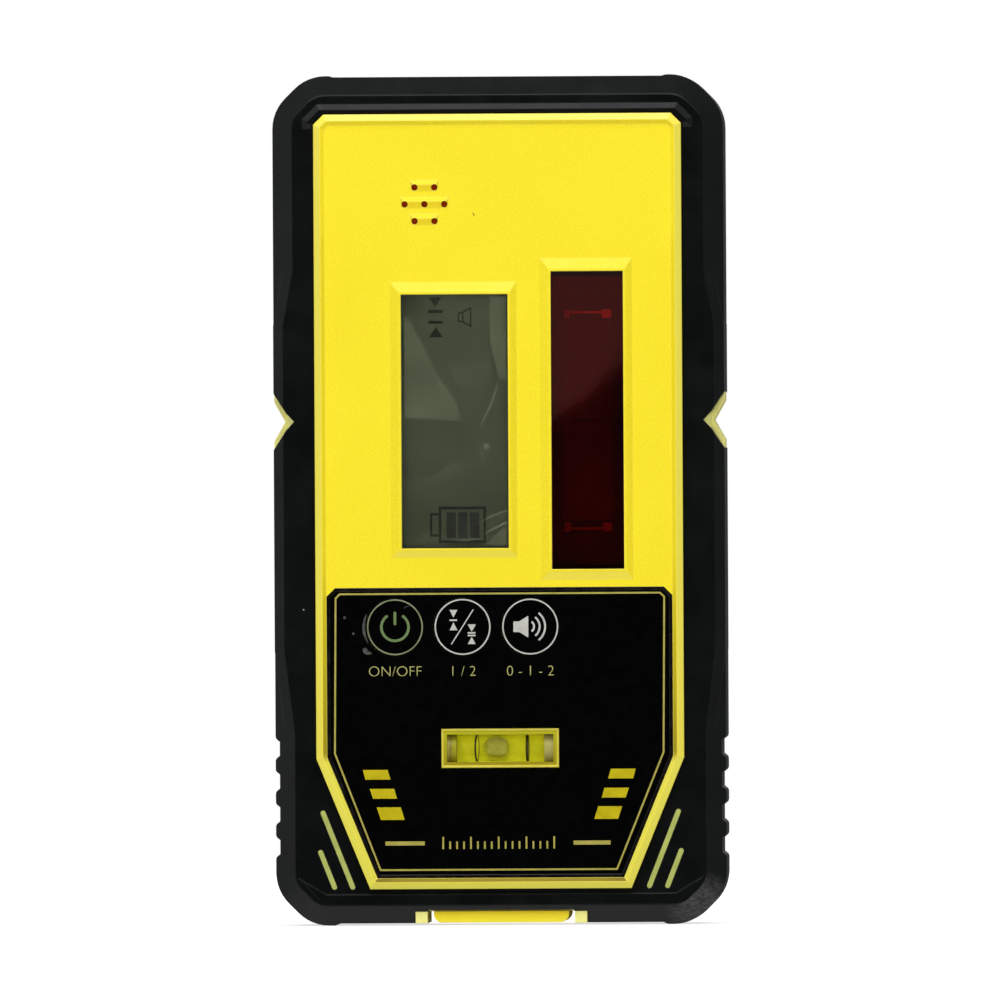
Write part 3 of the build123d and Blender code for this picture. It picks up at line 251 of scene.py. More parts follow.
# Painted shade: the side slopes of the frames are a little darker than the face.
for side in (-1, 1):
    slope = facing(yellow_abs, (side, 0, 0), 0.2, 0.45)
    frame_slope = both(yellow_abs, slope, across(yellow_abs, "Z", 120, 118))
    tint(yellow_abs, frame_slope, FRAME_SLOPE_PAINTED_SHADE, "MULTIPLY")
    # Painted shade: the rim's inner slope beside and under the film is dark brownish yellow.
    inside = facing(yellow_abs, (-side, 0, 0.4), 0.2, 0.45)
    beside_film = across(yellow_abs, "X", side * 17, side * 20)
    lower = across(yellow_abs, "Z", 64, 20)
    tint(yellow_abs, both(yellow_abs, inside, beside_film, lower), FILM_WALL_PAINTED_SHADE, "MULTIPLY")
upward = facing(yellow_abs, (0, 0, 1), 0.2, 0.45)
under_film = both(yellow_abs, upward, across(yellow_abs, "Z", 16, 12))
tint(yellow_abs, under_film, FILM_WALL_PAINTED_SHADE, "MULTIPLY")
downward = facing(yellow_abs, (0, 0, -1), 0.2, 0.4)
for side in (-1, 1):
    # Painted sheen and shade: the rim's outer side slopes are paler and duller.
    beside_face = across(yellow_abs, "X", side * 30.2, side * 30.6)
    rim_side = both(yellow_abs, facing(yellow_abs, (side, 0, 0), 0.25, 0.5), beside_face)
    tint(yellow_abs, rim_side, RIM_SIDE_PAINTED_SHEEN)
    # Painted sheen: the rim's lower corner slopes, which face the floor, are paler.
    taper = facing(yellow_abs, (side, 0, -0.4), 0.25, 0.5)
    tint(yellow_abs, both(yellow_abs, taper, across(yellow_abs, "Z", 30, 28)), RIM_FOOT_PAINTED_SHEEN)
# Painted sheen: the foot of the rim, which faces down, is paler.
tint(yellow_abs, both(yellow_abs, downward, across(yellow_abs, "Z", 9, 8.4)), RIM_FOOT_PAINTED_SHEEN)
# Painted highlight: the top of the rim, which faces up to the soft box, is paler.
crown = facing(yellow_abs, (0, 0, 1), 0.25, 0.5)
tint(yellow_abs, both(yellow_abs, crown, across(yellow_abs, "Z", 136, 137)), RIM_CROWN_PAINTED_HIGHLIGHT)
# Painted shade: the down-facing slopes of the sounder ridges are deeper gold.
by_sounder = near(yellow_abs, (SPEAKER_X, -14.5, SPEAKER_Z), 8.0, 7.0)
tint(yellow_abs, both(yellow_abs, downward, by_sounder), SOUNDER_PAINTED_SHADE, "MULTIPLY")
# Painted sheen: the down-facing lower slopes of the window frames are paler.
above_film = across(yellow_abs, "Z", 57, 58.5)
under_windows = both(yellow_abs, above_film, across(yellow_abs, "Z", 67, 66))
tint(yellow_abs, both(yellow_abs, downward, under_windows), SILL_PAINTED_SHEEN)
# Painted light: the thin blocks at the sides and at the foot are paler, for the shade they sit in.
for axis, start, end in (("X", 33.5, 34.5), ("X", -33.5, -34.5), ("Z", 4.6, 4.2)):
    tint(yellow_abs, across(yellow_abs, axis, start, end), BLOCK_PAINTED_LIGHT)
# Paler colour along the edges: edge wear and a painted highlight.
soften_edges(yellow_abs, 0.28 * MM, RUBBED_HIGHLIGHT_YELLOW, RUBBED_HIGHLIGHT_SHARE)
emboss(yellow_abs, yellow_grain, GRAIN_HEIGHT)
dress(yellow_abs, "front_shell")

# Front bumper: soft black rubber moulded over the front shell, so it follows the rim and the
# corner stripes with a thin groove. Satin skin with a fine grain, dusty and rubbed at its bevels,
# where the paler colour along the edges is also a painted highlight.
SCUFF_GREY = (0.085, 0.086, 0.09)
bumper_rubber = new_finish("bumper_rubber", (0.0024, 0.0031, 0.0033), 0.32, Specular_IOR_Level=0.2)
mottle(bumper_rubber, 9 * MM, (0.0018, 0.0024, 0.0026), (0.0034, 0.0042, 0.0044), 6.0)
uneven_gloss(bumper_rubber, 4 * MM, 0.28, 0.38, 4.0)
scuff = both(
    bumper_rubber,
    near(bumper_rubber, (34.6, -11.5, 3.0), 6.5, 3.0),
    facing(bumper_rubber, (1, 0, -1), 0.2, 0.5),
    sharpen(bumper_rubber, patches(bumper_rubber, 0.9 * MM, 5.0, (1, 1, 2.2)), 0.25, 0.7),
)
tint(bumper_rubber, scuff, SCUFF_GREY)
# Paler colour along the edges: wear, and also a painted highlight.
soften_edges(bumper_rubber, 0.25 * MM, (0.012, 0.013, 0.013), 0.4)
roughen(bumper_rubber, 0.3 * MM, 0.016 * MM)
dress(bumper_rubber, "front_bumper")

# Display window: clear acrylic lens with a stepped edge, bonded from inside on a black gasket.
# Polished, with the faint haze and fine scratches of a case that travels in a tool bag.
ACRYLIC_IOR = 1.49
clear_acrylic = new_finish(
    "clear_acrylic", (0.96, 0.97, 0.95), 0.03, IOR=ACRYLIC_IOR, Transmission_Weight=1.0
)
uneven_gloss(clear_acrylic, 3 * MM, 0.01, 0.05, 5.0, (1, 1, 6))
dress(clear_acrylic, "lcd_window")

gasket_rubber = new_finish("gasket_rubber", (0.012, 0.012, 0.012), 0.7)
mottle(gasket_rubber, 2 * MM, (0.009, 0.009, 0.009), (0.016, 0.016, 0.016))
roughen(gasket_rubber, 0.15 * MM, 0.006 * MM)
dress(gasket_rubber, "lcd_window_gasket", "receiver_window_gasket", "case_seal", "door_seal")

# Display: liquid crystal glass behind a grey-green polariser, in a black holder, over a white
# light guide, with carbon-striped rubber strips that join it to the board.
polariser = new_finish("polariser", (0.086, 0.100, 0.060), 0.32, Specular_IOR_Level=0.3)
mottle(polariser, 0.5 * MM, (0.083, 0.097, 0.058), (0.089, 0.103, 0.062))
tint(polariser, across(polariser, "Z", 68, 82), (1.34, 1.31, 1.34), "MULTIPLY")
uneven_gloss(polariser, 5 * MM, 0.28, 0.38)
dress(polariser, "lcd_glass")

black_moulding = new_finish("black_moulding", (0.02, 0.02, 0.021), 0.5)
mottle(black_moulding, 5 * MM, (0.016, 0.016, 0.017), (0.026, 0.026, 0.027))
roughen(black_moulding, 0.3 * MM, 0.008 * MM)
dress(black_moulding, "lcd_frame", "buzzer", "sensor_header", "key_switches")
dress(black_moulding, "power_switch_stem", "beam_switch_stem", "volume_switch_stem")

light_guide = new_finish("light_guide", (0.80, 0.80, 0.78), 0.35)
mottle(light_guide, 3 * MM, (0.77, 0.77, 0.74), (0.83, 0.83, 0.81))
dress(light_guide, "lcd_backlight")

striped_rubber = new_finish("striped_rubber", (0.05, 0.05, 0.05), 0.6)
mottle(striped_rubber, 0.2 * MM, (0.02, 0.02, 0.02), (0.35, 0.34, 0.33), 0.0, (1, 0, 0))
dress(striped_rubber, "lcd_connector_strips")

# Display segments: the unlit figures of the display, seen as faint dark ghosts in the glass.
# Etched electrodes: beam arrows, a sounder and a battery with its three bars.
SEGMENT_HEIGHT = 0.03
DISPLAY_LEVEL = 11.1
SOUNDER_LINE, BATTERY_LINE, TERMINAL_LINE = 0.26, 0.48, 0.42
CHARGE_WIDTH = 1.65


def flat_face(shape, points):
    """One flat face in the front view, from (x, z) points in millimetres."""
    return shape.faces.new([shape.verts.new((x * MM, 0, z * MM)) for x, z in points])


def flat_box(shape, left, low, right, high):
    """Upright rectangle in the front view, in millimetres."""
    return flat_face(shape, [(left, low), (right, low), (right, high), (left, high)])


def hollow(shape, face, width):
    """Leave only a border of a given width round a face."""
    face.normal_update()
    bmesh.ops.inset_region(
        shape, faces=[face], thickness=width * MM, use_even_offset=True, use_boundary=True
    )
    bmesh.ops.delete(shape, geom=[face], context="FACES")


def lay_on(shape, level, height):
    """Thicken flat artwork and set it down on a surface in front of the parting plane."""
    bmesh.ops.recalc_face_normals(shape, faces=shape.faces)
    sheet = shape.faces[:]
    raised = bmesh.ops.extrude_face_region(shape, geom=sheet, use_keep_orig=True)
    top = [item for item in raised["geom"] if isinstance(item, bmesh.types.BMVert)]
    bmesh.ops.translate(shape, verts=top, vec=(0, -height * MM, 0))
    bmesh.ops.translate(shape, verts=shape.verts, vec=(0, -level * MM, 0))


def new_piece(name, shape, material, body):
    """Finished mesh as an object that rides on a body."""
    bmesh.ops.remove_doubles(shape, verts=shape.verts, dist=1e-8)
    bmesh.ops.recalc_face_normals(shape, faces=shape.faces)
    mesh = bpy.data.meshes.new(name)
    shape.to_mesh(mesh)
    shape.free()
    mesh.materials.append(material)
    piece = bpy.data.objects.new(name, mesh)
    bpy.context.scene.collection.objects.link(piece)
    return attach(piece, body)


def lay_piece(name, shape, material, body, level, height):
    """Flat artwork laid on a surface, as a finished piece."""
    lay_on(shape, level, height)
    return new_piece(name, shape, material, body)


def open_frame(shape, left, low, right, high, width):
    """Frame of a given width along a box, without its right side, in millimetres."""
    outer = [(right, high), (left, high), (left, low), (right, low)]
    inner = [
        (right, low + width), (left + width, low + width),
        (left + width, high - width), (right, high - width),
    ]
    flat_face(shape, outer + inner)


segment_ink = new_finish("segment_ink", (0.020, 0.022, 0.017), 0.4, Specular_IOR_Level=0.2)
mottle(segment_ink, 3 * MM, (0.016, 0.018, 0.013), (0.024, 0.027, 0.020))
faint_ink = new_finish("faint_ink", (0.036, 0.040, 0.033), 0.4, Specular_IOR_Level=0.2)
mottle(faint_ink, 2 * MM, (0.028, 0.031, 0.026), (0.046, 0.050, 0.042), 3.0)

segments = bmesh.new()
flat_face(segments, [(-12.0, 108.6), (-9.8, 108.6), (-10.9, 107.0)])
flat_box(segments, -12.1, 105.9, -9.6, 106.45)
flat_box(segments, -12.1, 104.05, -9.6, 104.55)
flat_face(segments, [(-12.0, 101.7), (-9.6, 101.7), (-10.8, 103.45)])
open_frame(segments, -7.0, 104.3, -6.26, 106.05, SOUNDER_LINE)
horn = flat_face(segments, [(-6.26, 104.25), (-4.65, 103.35), (-4.65, 106.95), (-6.26, 106.1)])
hollow(segments, horn, SOUNDER_LINE)
hollow(segments, flat_box(segments, -10.5, 66.1, -2.3, 72.4), BATTERY_LINE)
open_frame(segments, -12.0, 67.2, -10.5, 71.3, TERMINAL_LINE)
lay_piece("display_segments", segments, segment_ink, "case", DISPLAY_LEVEL, SEGMENT_HEIGHT)

charge = bmesh.new()
for bar_left in (-9.15, -7.15, -5.1):
    flat_box(charge, bar_left, 66.95, bar_left + CHARGE_WIDTH, 71.4)
lay_piece("display_charge", charge, faint_ink, "case", DISPLAY_LEVEL, SEGMENT_HEIGHT)

# Display guard: the clear film that is stuck on the lens for transport. It has lifted in places,
# so it shows faint folds, pale blisters, sharp creases and a pinhole bubble. These are pale hazy
# sheets, painted glints for the light that the lifted film reflects.
GUARD_LEVEL = 14.41
GUARD_STEP = 0.012
GUARD_THICKNESS = 0.01
PINHOLE_X, PINHOLE_Z, PINHOLE_RADIUS, PINHOLE_STEPS = -2.1, 82.8, 0.58, 24


def guard_film(name, haze_and_glint, outlines, level):
    """Thin hazy sheets of film, from outlines in millimetres. Where the film has lifted, they are
    painted glints.
    """
    finish = new_finish(name, (0.80, 0.90, 0.54), 0.35, Alpha=haze_and_glint, Specular_IOR_Level=0.1)
    vary_value(finish, "Alpha", patches(finish, 7 * MM), haze_and_glint * 0.7, haze_and_glint * 1.3)
    sheet = bmesh.new()
    for outline in outlines:
        flat_face(sheet, outline)
    lay_piece(name, sheet, finish, "case", level, GUARD_THICKNESS)


def strip_outline(points, widths):
    """Outline of a strip along points, as wide at each as the widths say."""
    left, right = [], []
    for number, (x, z) in enumerate(points):
        before, after = points[max(number - 1, 0)], points[min(number + 1, len(points) - 1)]
        square_on = Vector((before[1] - after[1], after[0] - before[0])).normalized()
        half = square_on * widths[number] / 2
        left.append((x + half.x, z + half.y))
        right.append((x - half.x, z - half.y))
    return left + right[::-1]


guard_film(
    "display_guard",
    0.002,
    [[(-16.6, 65.4), (1.5, 65.4), (1.5, 108.9), (-16.6, 108.9)]],
    GUARD_LEVEL,
)
# Painted glints: pale sheets where the lifted film catches the light.
guard_film(
    "painted_glint_folds",
    0.008,
    [
        [
            (-13.5, 108.7), (-12.3, 107.2), (-9.1, 105.3),
            (-4.9, 104.3), (-1.5, 104.5), (-1.5, 108.7),
        ],
        [(-9.1, 97.4), (-6.7, 92.9), (-3.5, 92.4), (-1.0, 94.4), (-1.5, 97.4)],
        [(-15.9, 73.9), (-6.3, 79.1), (-7.0, 80.2), (-15.9, 75.6)],
        [(-16.0, 65.7), (-10.0, 65.7), (-10.0, 67.7), (-12.0, 68.4), (-16.0, 66.1)],
        [(-3.6, 68.4), (-3.1, 67.7), (-1.6, 68.7), (1.2, 70.7), (1.2, 71.6), (-1.35, 70.2)],
    ],
    GUARD_LEVEL + GUARD_STEP,
)
guard_film(
    "painted_glint_blisters",
    0.023,
    [
        [
            (-16.2, 105.0), (-15.4, 104.9), (-14.1, 102.4), (-12.4, 99.3),
            (-10.9, 95.6), (-9.2, 93.2), (-7.4, 90.7), (-6.5, 88.2),
            (-6.5, 87.7), (-7.5, 87.2), (-12.4, 87.6), (-16.2, 88.0),
        ],
        [
            (-1.4, 108.7), (-1.45, 104.0), (-1.3, 100.8), (-1.0, 99.1),
            (-0.25, 96.4), (0.1, 94.4), (1.35, 94.4), (1.4, 108.7),
        ],
        [(-2.4, 65.7), (1.2, 65.7), (1.2, 69.3), (-0.4, 67.7)],
    ],
    GUARD_LEVEL + 2 * GUARD_STEP,
)
guard_film(
    "painted_glint_creases",
    0.029,
    [
        strip_outline(
            [(0.1, 94.4), (-0.5, 92.2), (-1.5, 89.4), (-2.5, 87.7), (-3.1, 86.2)],
            (0.12, 0.34, 0.4, 0.3, 0.1),
        ),
        strip_outline([(-3.3, 83.5), (-2.8, 81.3), (-2.05, 79.3)], (0.12, 0.32, 0.12)),
        strip_outline([(-5.0, 87.5), (-4.75, 86.7), (-4.5, 86.0)], (0.1, 0.2, 0.1)),
    ],
    GUARD_LEVEL + 3 * GUARD_STEP,
)
guard_film(
    "painted_glint_wrinkles",
    0.038,
    [
        strip_outline([(-4.3, 69.1), (-1.5, 70.6), (1.35, 71.7)], (0.1, 0.55, 0.4)),
        strip_outline([(-2.8, 67.6), (-0.8, 68.6), (1.35, 69.7)], (0.1, 0.45, 0.5)),
        strip_outline([(-8.5, 66.6), (-5.6, 66.5), (-3.2, 66.9)], (0.1, 0.4, 0.1)),
    ],
    GUARD_LEVEL + 2 * GUARD_STEP,
)
pinhole = []
for step in range(PINHOLE_STEPS):
    turn = math.tau * step / PINHOLE_STEPS
    pinhole.append(
        (PINHOLE_X + PINHOLE_RADIUS * math.cos(turn), PINHOLE_Z + PINHOLE_RADIUS * math.sin(turn))
    )
guard_film("painted_glint_pinhole", 0.036, [pinhole], GUARD_LEVEL + 2 * GUARD_STEP)

# Reception window: deep red filter moulded in acrylic, which passes only the laser's colour.
# Behind it sit two dark photocells with tinned ribbons, on a black sensor board. Cells and board
# are painted paler towards the foot of the window, a painted light seen through the filter.
red_filter = new_finish(
    "red_filter", (0.80, 0.07, 0.06), 0.03, IOR=ACRYLIC_IOR, Transmission_Weight=1.0
)
uneven_gloss(red_filter, 3 * MM, 0.01, 0.05, 5.0, (1, 1, 6))
dress(red_filter, "receiver_window")

silicon = new_finish("silicon", (0.016, 0.017, 0.024), 0.03, IOR=3.0)
mottle(silicon, 0.5 * MM, (0.012, 0.012, 0.018), (0.022, 0.023, 0.032), 0.0, (0, 1, 1))
# Painted light: the cells are paler towards the foot of the window.
tint(silicon, across(silicon, "Z", 98, 74), (0.062, 0.054, 0.054))
dress(silicon, "photocells")

RIBBON_TONE_LOW = 0.08
dull_tin = new_finish("dull_tin", (0.30, 0.28, 0.27), 0.5)
ribbon_side = across(dull_tin, "X", 8.0, 20.0)
ribbon_height = across(dull_tin, "Z", 68.0, 106.0)
ribbon_tone = combine(dull_tin, "ADD", both(dull_tin, ribbon_side, ribbon_height), RIBBON_TONE_LOW)
vary_color(dull_tin, ribbon_tone, (0.10, 0.09, 0.09), (0.52, 0.48, 0.46), (0.0, 0.9))
roughen(dull_tin, 0.8 * MM, 0.02 * MM)
dress(dull_tin, "photocell_ribbons")

black_mask = new_finish("black_mask", (0.014, 0.014, 0.015), 0.04, IOR=2.8)
mottle(black_mask, 1.5 * MM, (0.011, 0.011, 0.012), (0.019, 0.019, 0.020))
# Painted light: the board is paler towards the foot of the window.
tint(black_mask, across(black_mask, "Z", 94, 68), (0.034, 0.030, 0.030))
dress(black_mask, "sensor_board")

# Main board: glass-epoxy with green solder mask over copper traces, carrying moulded chips and
# tinned capacitors. Four pan-head screws hold it to posts of the front shell, zinc plated as the
# case screws and the hinge pin are. The battery contacts are tinned too.
solder_mask = new_finish("solder_mask", (0.015, 0.13, 0.05), 0.3)
vary_color(
    solder_mask, patches(solder_mask, 1.2 * MM, 0.0, (1, 0, 0.15)),
    (0.010, 0.10, 0.036), (0.020, 0.16, 0.062), (0.48, 0.52),
)
dress(solder_mask, "main_board")

chip_epoxy = new_finish("chip_epoxy", (0.022, 0.022, 0.023), 0.6)
mottle(chip_epoxy, 0.3 * MM, (0.017, 0.017, 0.018), (0.030, 0.030, 0.031))
dress(chip_epoxy, "controller_chip", "amplifier_chips")

zinc_steel = new_finish("zinc_steel", (0.56, 0.56, 0.58), 0.35, Metallic=1.0)
mottle(zinc_steel, 1.5 * MM, (0.50, 0.50, 0.51), (0.63, 0.63, 0.66))
uneven_gloss(zinc_steel, 0.7 * MM, 0.28, 0.45, 4.0)
dress(zinc_steel, "board_screws", "case_screws", "hinge_pin")

tin = new_finish("tin", (0.72, 0.71, 0.69), 0.3, Metallic=1.0)
uneven_gloss(tin, 0.6 * MM, 0.2, 0.42, 4.0)
roughen(tin, 0.8 * MM, 0.01 * MM)
dress(tin, "capacitors")
dress(tin, "contact_bridge", "contact_positive", "contact_negative", "battery_springs")

# Sounder vent: porous skin glued behind the seven holes, which keeps rain out. Its red-brown is
# painted light, for light that comes through the yellow walls of the holes. Pressed on from
# inside, it bulges a little way into each hole.
HOLE_PITCH, HOLE_ROW = 3.43, 2.92
VENT_LEVEL = 12.3
BULGE_RADIUS, BULGE_HEIGHT, BULGE_STEPS = 0.54, 1.3, 32
vent_skin = new_finish("vent_skin", (0.28, 0.030, 0.001), 0.9, Specular_IOR_Level=0.05)
mottle(vent_skin, 0.25 * MM, (0.24, 0.025, 0.001), (0.33, 0.036, 0.001), 4.0)
roughen(vent_skin, 0.2 * MM, 0.02 * MM, 4.0)
dress(vent_skin, "buzzer_membrane")


def flat_disc(shape, x, z, radius, steps=96):
    """Round face in the front view."""
    upright = Matrix.Translation((x * MM, 0, z * MM)) @ Matrix.Rotation(math.pi / 2, 4, "X")
    made = bmesh.ops.create_circle(
        shape, cap_ends=True, segments=steps, radius=radius * MM, matrix=upright
    )
    return made["verts"][0].link_faces[0]


vent_bulges = bmesh.new()
for row, count in ((1, 2), (0, 3), (-1, 2)):
    for column in range(count):
        hole_x = SPEAKER_X + (column - (count - 1) / 2) * HOLE_PITCH
        flat_disc(vent_bulges, hole_x, SPEAKER_Z + row * HOLE_ROW, BULGE_RADIUS, BULGE_STEPS)
lay_piece("vent_bulges", vent_bulges, vent_skin, "case", VENT_LEVEL, BULGE_HEIGHT)

# Keypad film: black polycarbonate, printed from behind, glued in the recess of the panel.
# The three round keys are cut from the same film. It is glossy with a faint orange peel.
film_black = new_finish("film_black", (0.0006, 0.0006, 0.0006), 0.1, IOR=1.48)
uneven_gloss(film_black, 4 * MM, 0.07, 0.13, 5.0)
mottle(film_black, 1.5 * MM, (0.0003, 0.0003, 0.0003), (0.0010, 0.0010, 0.0010), 6.0)
roughen(film_black, 0.8 * MM, 0.002 * MM)
dress(film_black, "keypad_overlay", "power_key", "beam_key", "volume_key")

# Film artwork: olive ink border, bars and dashes, silk-screened on the film.
# A plain row of tick marks stands between the two dashes.
FILM_LEVEL = 14.1
INK_HEIGHT = 0.03
BORDER_WIDTH = 0.31
DASH_LOW, DASH_HIGH = 13.85, 14.55
TICK_PITCH, TICK_WIDTH, TICK_FOOT = 1.2, 0.3, 13.2
TICK_LONG, TICK_SHORT = 2.1, 1.3
TICK_SHIFT = 0.5


def screen_ink(name, color, low, high, patch=2 * MM, detail=4.0):
    """Matt screen ink, a little uneven."""
    ink = new_finish(name, color, 0.55, Specular_IOR_Level=0.15)
    mottle(ink, patch, low, high, detail)
    return ink


olive_ink = screen_ink("olive_ink", (0.38, 0.33, 0.070), (0.34, 0.30, 0.062), (0.42, 0.365, 0.080))
mustard_ink = screen_ink(
    "mustard_ink", (0.48, 0.39, 0.004), (0.44, 0.355, 0.003), (0.52, 0.43, 0.006)
)

border = bmesh.new()
border_face = flat_face(
    border,
    [
        (-20.9, 9.45), (20.2, 9.45), (28.4, 29.75), (28.65, 56.7),
        (27.85, 57.5), (-27.7, 57.5), (-28.5, 56.7), (-28.75, 29.75),
    ],
)
hollow(border, border_face, BORDER_WIDTH)
for dash_left, dash_right in ((-19.95, -13.15), (12.6, 19.0)):
    flat_box(border, dash_left, DASH_LOW, dash_right, DASH_HIGH)
for tick in range(-8, 9):
    tick_height = TICK_LONG if tick % 4 == 0 else TICK_SHORT
    tick_left = tick * TICK_PITCH - TICK_SHIFT
    flat_box(border, tick_left, TICK_FOOT, tick_left + TICK_WIDTH, TICK_FOOT + tick_height)
lay_piece("film_border", border, olive_ink, "case", FILM_LEVEL, INK_HEIGHT)

bars = bmesh.new()
for side, shift in ((-1, -0.08), (1, -0.3)):
    for bar in (
        [(23.70, 26.94), (19.41, 26.94), (18.93, 25.26), (23.28, 25.26)],
        [(22.53, 23.66), (18.29, 23.66), (17.81, 21.96), (21.96, 21.96)],
        [(21.33, 20.46), (17.19, 20.46), (16.51, 18.28), (20.64, 18.28)],
    ):
        flat_face(bars, [(side * x + shift, z) for x, z in bar])
lay_piece("film_bars", bars, mustard_ink, "case", FILM_LEVEL, INK_HEIGHT)

# Film seal: a thin bead of black sealant, run round the edge of the film to close the gap between
# it and the foot of the rim. It has sagged to a soft edge and shines a little.
SEAL_LEVEL = 14.12
SEAL_HEIGHT, SEAL_WIDTH, SEAL_ROUND = 0.22, 0.62, 0.08


def round_over(shape, level, width):
    """Bevel the outer edges of a shape's front, which lies at a level, in millimetres."""
    bmesh.ops.recalc_face_normals(shape, faces=shape.faces)
    deepest = (0.01 - level) * MM
    front = [edge for edge in shape.edges if all(vert.co.y < deepest for vert in edge.verts)]
    rims = [edge for edge in front if edge.calc_face_angle(0) > 1.0]
    bmesh.ops.bevel(
        shape, geom=rims, offset=width * MM, offset_type="OFFSET",
        segments=2, profile=0.5, affect="EDGES", material=-1,
    )


sealant = new_finish("sealant", (0.0025, 0.0022, 0.0020), 0.25, Specular_IOR_Level=0.4)
uneven_gloss(sealant, 1.5 * MM, 0.18, 0.4, 4.0)
mottle(sealant, 3 * MM, (0.0018, 0.0016, 0.0015), (0.006, 0.0045, 0.0035), 3.0)
bead = bmesh.new()
bead_face = flat_face(
    bead,
    [
        (-21.34, 8.17), (21.34, 8.17), (29.93, 29.26), (29.93, 56.95),
        (28.45, 58.42), (-28.45, 58.42), (-29.93, 56.95), (-29.93, 29.26),
    ],
)
hollow(bead, bead_face, SEAL_WIDTH)
lay_on(bead, SEAL_LEVEL, SEAL_HEIGHT)
round_over(bead, SEAL_LEVEL + SEAL_HEIGHT, SEAL_ROUND)
new_piece("film_seal", bead, sealant, "case")

# Bumper ledge: a low step of the same rubber along the foot of the bumper, under the panel. It
# runs out to a point at both corners, beside the stripes, and its upper edge slopes.
BUMPER_LEVEL = 13.3
LEDGE_HEIGHT, LEDGE_SLOPE = 0.14, 0.3
LEDGE_MIDDLE = 5.0
ledge = bmesh.new()
flat_face(ledge, [(-30.6, 3.5), (30.6, 3.5), (35.1, 8.5), (30.2, 5.6), (-30.2, 5.6), (-35.1, 8.5)])
lay_on(ledge, BUMPER_LEVEL, LEDGE_HEIGHT)
for vert in ledge.verts:
    on_front = vert.co.y < -(BUMPER_LEVEL + LEDGE_HEIGHT / 2) * MM
    if on_front and vert.co.z > LEDGE_MIDDLE * MM:
        vert.co.z -= LEDGE_SLOPE * MM
new_piece("bumper_ledge", ledge, bumper_rubber, "case")

# Corner stripes: four ribs of the front shell that come up through the bumper's lower corners,
# with their tops printed in a dull green-yellow.
STRIPE_LEAN = math.radians(68.5)
STRIPE_RADIUS, STRIPE_END = 0.43, 0.8
stripe_ink = new_finish("stripe_ink", (0.40, 0.44, 0.115), 0.5, Specular_IOR_Level=0.2)
mottle(stripe_ink, 2 * MM, (0.37, 0.41, 0.105), (0.43, 0.47, 0.125), 4.0)
stripes = bmesh.new()
for side in (-1, 1):
    for stripe_x, stripe_z, stripe_length in ((28.2, 13.1, 14.6), (30.0, 9.7, 7.3)):
        lean = Vector((math.cos(STRIPE_LEAN) * side, math.sin(STRIPE_LEAN)))
        along = lean * (stripe_length - STRIPE_END) / 2
        rounded = []
        for end in (1, -1):
            end_x, end_z = side * stripe_x + along.x * end, stripe_z + along.y * end
            for step in range(9):
                turn = math.atan2(along.y * end, along.x * end) + math.pi * (step / 8 - 0.5)
                reach_x, reach_z = STRIPE_RADIUS * math.cos(turn), STRIPE_RADIUS * math.sin(turn)
                rounded.append((end_x + reach_x, end_z + reach_z))
        flat_face(stripes, rounded)
lay_piece("corner_stripes", stripes, stripe_ink, "case", BUMPER_LEVEL, INK_HEIGHT)

# Key artwork: a ring and a plain sign on each key, screened in green and light grey.
# Each sign moves with its key. The settings under the keys are plain marks on the film.
KEY_Z = 51.6
POWER_X, BEAM_X, VOLUME_X = -18.1, -6.4, 5.3
RING_RADIUS = 4.84
RING_WIDTH = 0.24
SIGN_LINE = 0.26
WAVE_WIDTH = 0.33
SETTING_Z, SETTING_HEIGHT = 43.1, 1.8
CAPITAL_SHARE = 0.7
STROKE_TRIM = 0.045


def round_corners(shape, corners, radius, segments):
    """Round off corners of flat artwork, radius in millimetres."""
    bmesh.ops.bevel(
        shape, geom=corners, offset=radius * MM, offset_type="OFFSET",
        segments=segments, profile=0.5, affect="VERTICES", material=-1,
    )


def on_key(key_x, points):
    """Points of the front view, given from the middle of a key."""
    return [(key_x + right, KEY_Z + up) for right, up in points]


def flat_arc(shape, x, z, radius, width, start, sweep, steps=40):
    """Strip along an arc, in degrees anticlockwise from the right, with rounded ends."""
    angle = math.radians(start)
    along = Vector((math.cos(angle), 0, math.sin(angle)))
    centre = Vector((x, 0, z)) * MM
    sides = (radius - width / 2, radius + width / 2)
    ends = [shape.verts.new(centre + along * reach * MM) for reach in sides]
    edge = shape.edges.new(ends)
    swept = bmesh.ops.spin(
        shape, geom=[*ends, edge], cent=centre, axis=(0, -1, 0),
        angle=math.radians(sweep), steps=steps,
    )
    last = [item for item in swept["geom_last"] if isinstance(item, bmesh.types.BMVert)]
    round_corners(shape, [*ends, *last], width * 0.45, 4)


green_ink = screen_ink(
    "green_ink", (0.13, 0.20, 0.075), (0.115, 0.18, 0.066), (0.145, 0.22, 0.084)
)
pale_ring_ink = screen_ink(
    "pale_ring_ink", (0.17, 0.20, 0.11), (0.13, 0.175, 0.075), (0.22, 0.245, 0.145), 3 * MM, 2.0
)
grey_ink = screen_ink("grey_ink", (0.48, 0.478, 0.445), (0.44, 0.438, 0.40), (0.52, 0.518, 0.48))

for ring_name, ring_x, ring_ink, ring_body in (
    ("power_ring", POWER_X, pale_ring_ink, "power_key"),
    ("beam_ring", BEAM_X, grey_ink, "beam_key"),
    ("volume_ring", VOLUME_X, grey_ink, "volume_key"),
):
    ring = bmesh.new()
    hollow(ring, flat_disc(ring, ring_x, KEY_Z, RING_RADIUS), RING_WIDTH)
    lay_piece(ring_name, ring, ring_ink, ring_body, FILM_LEVEL, INK_HEIGHT)

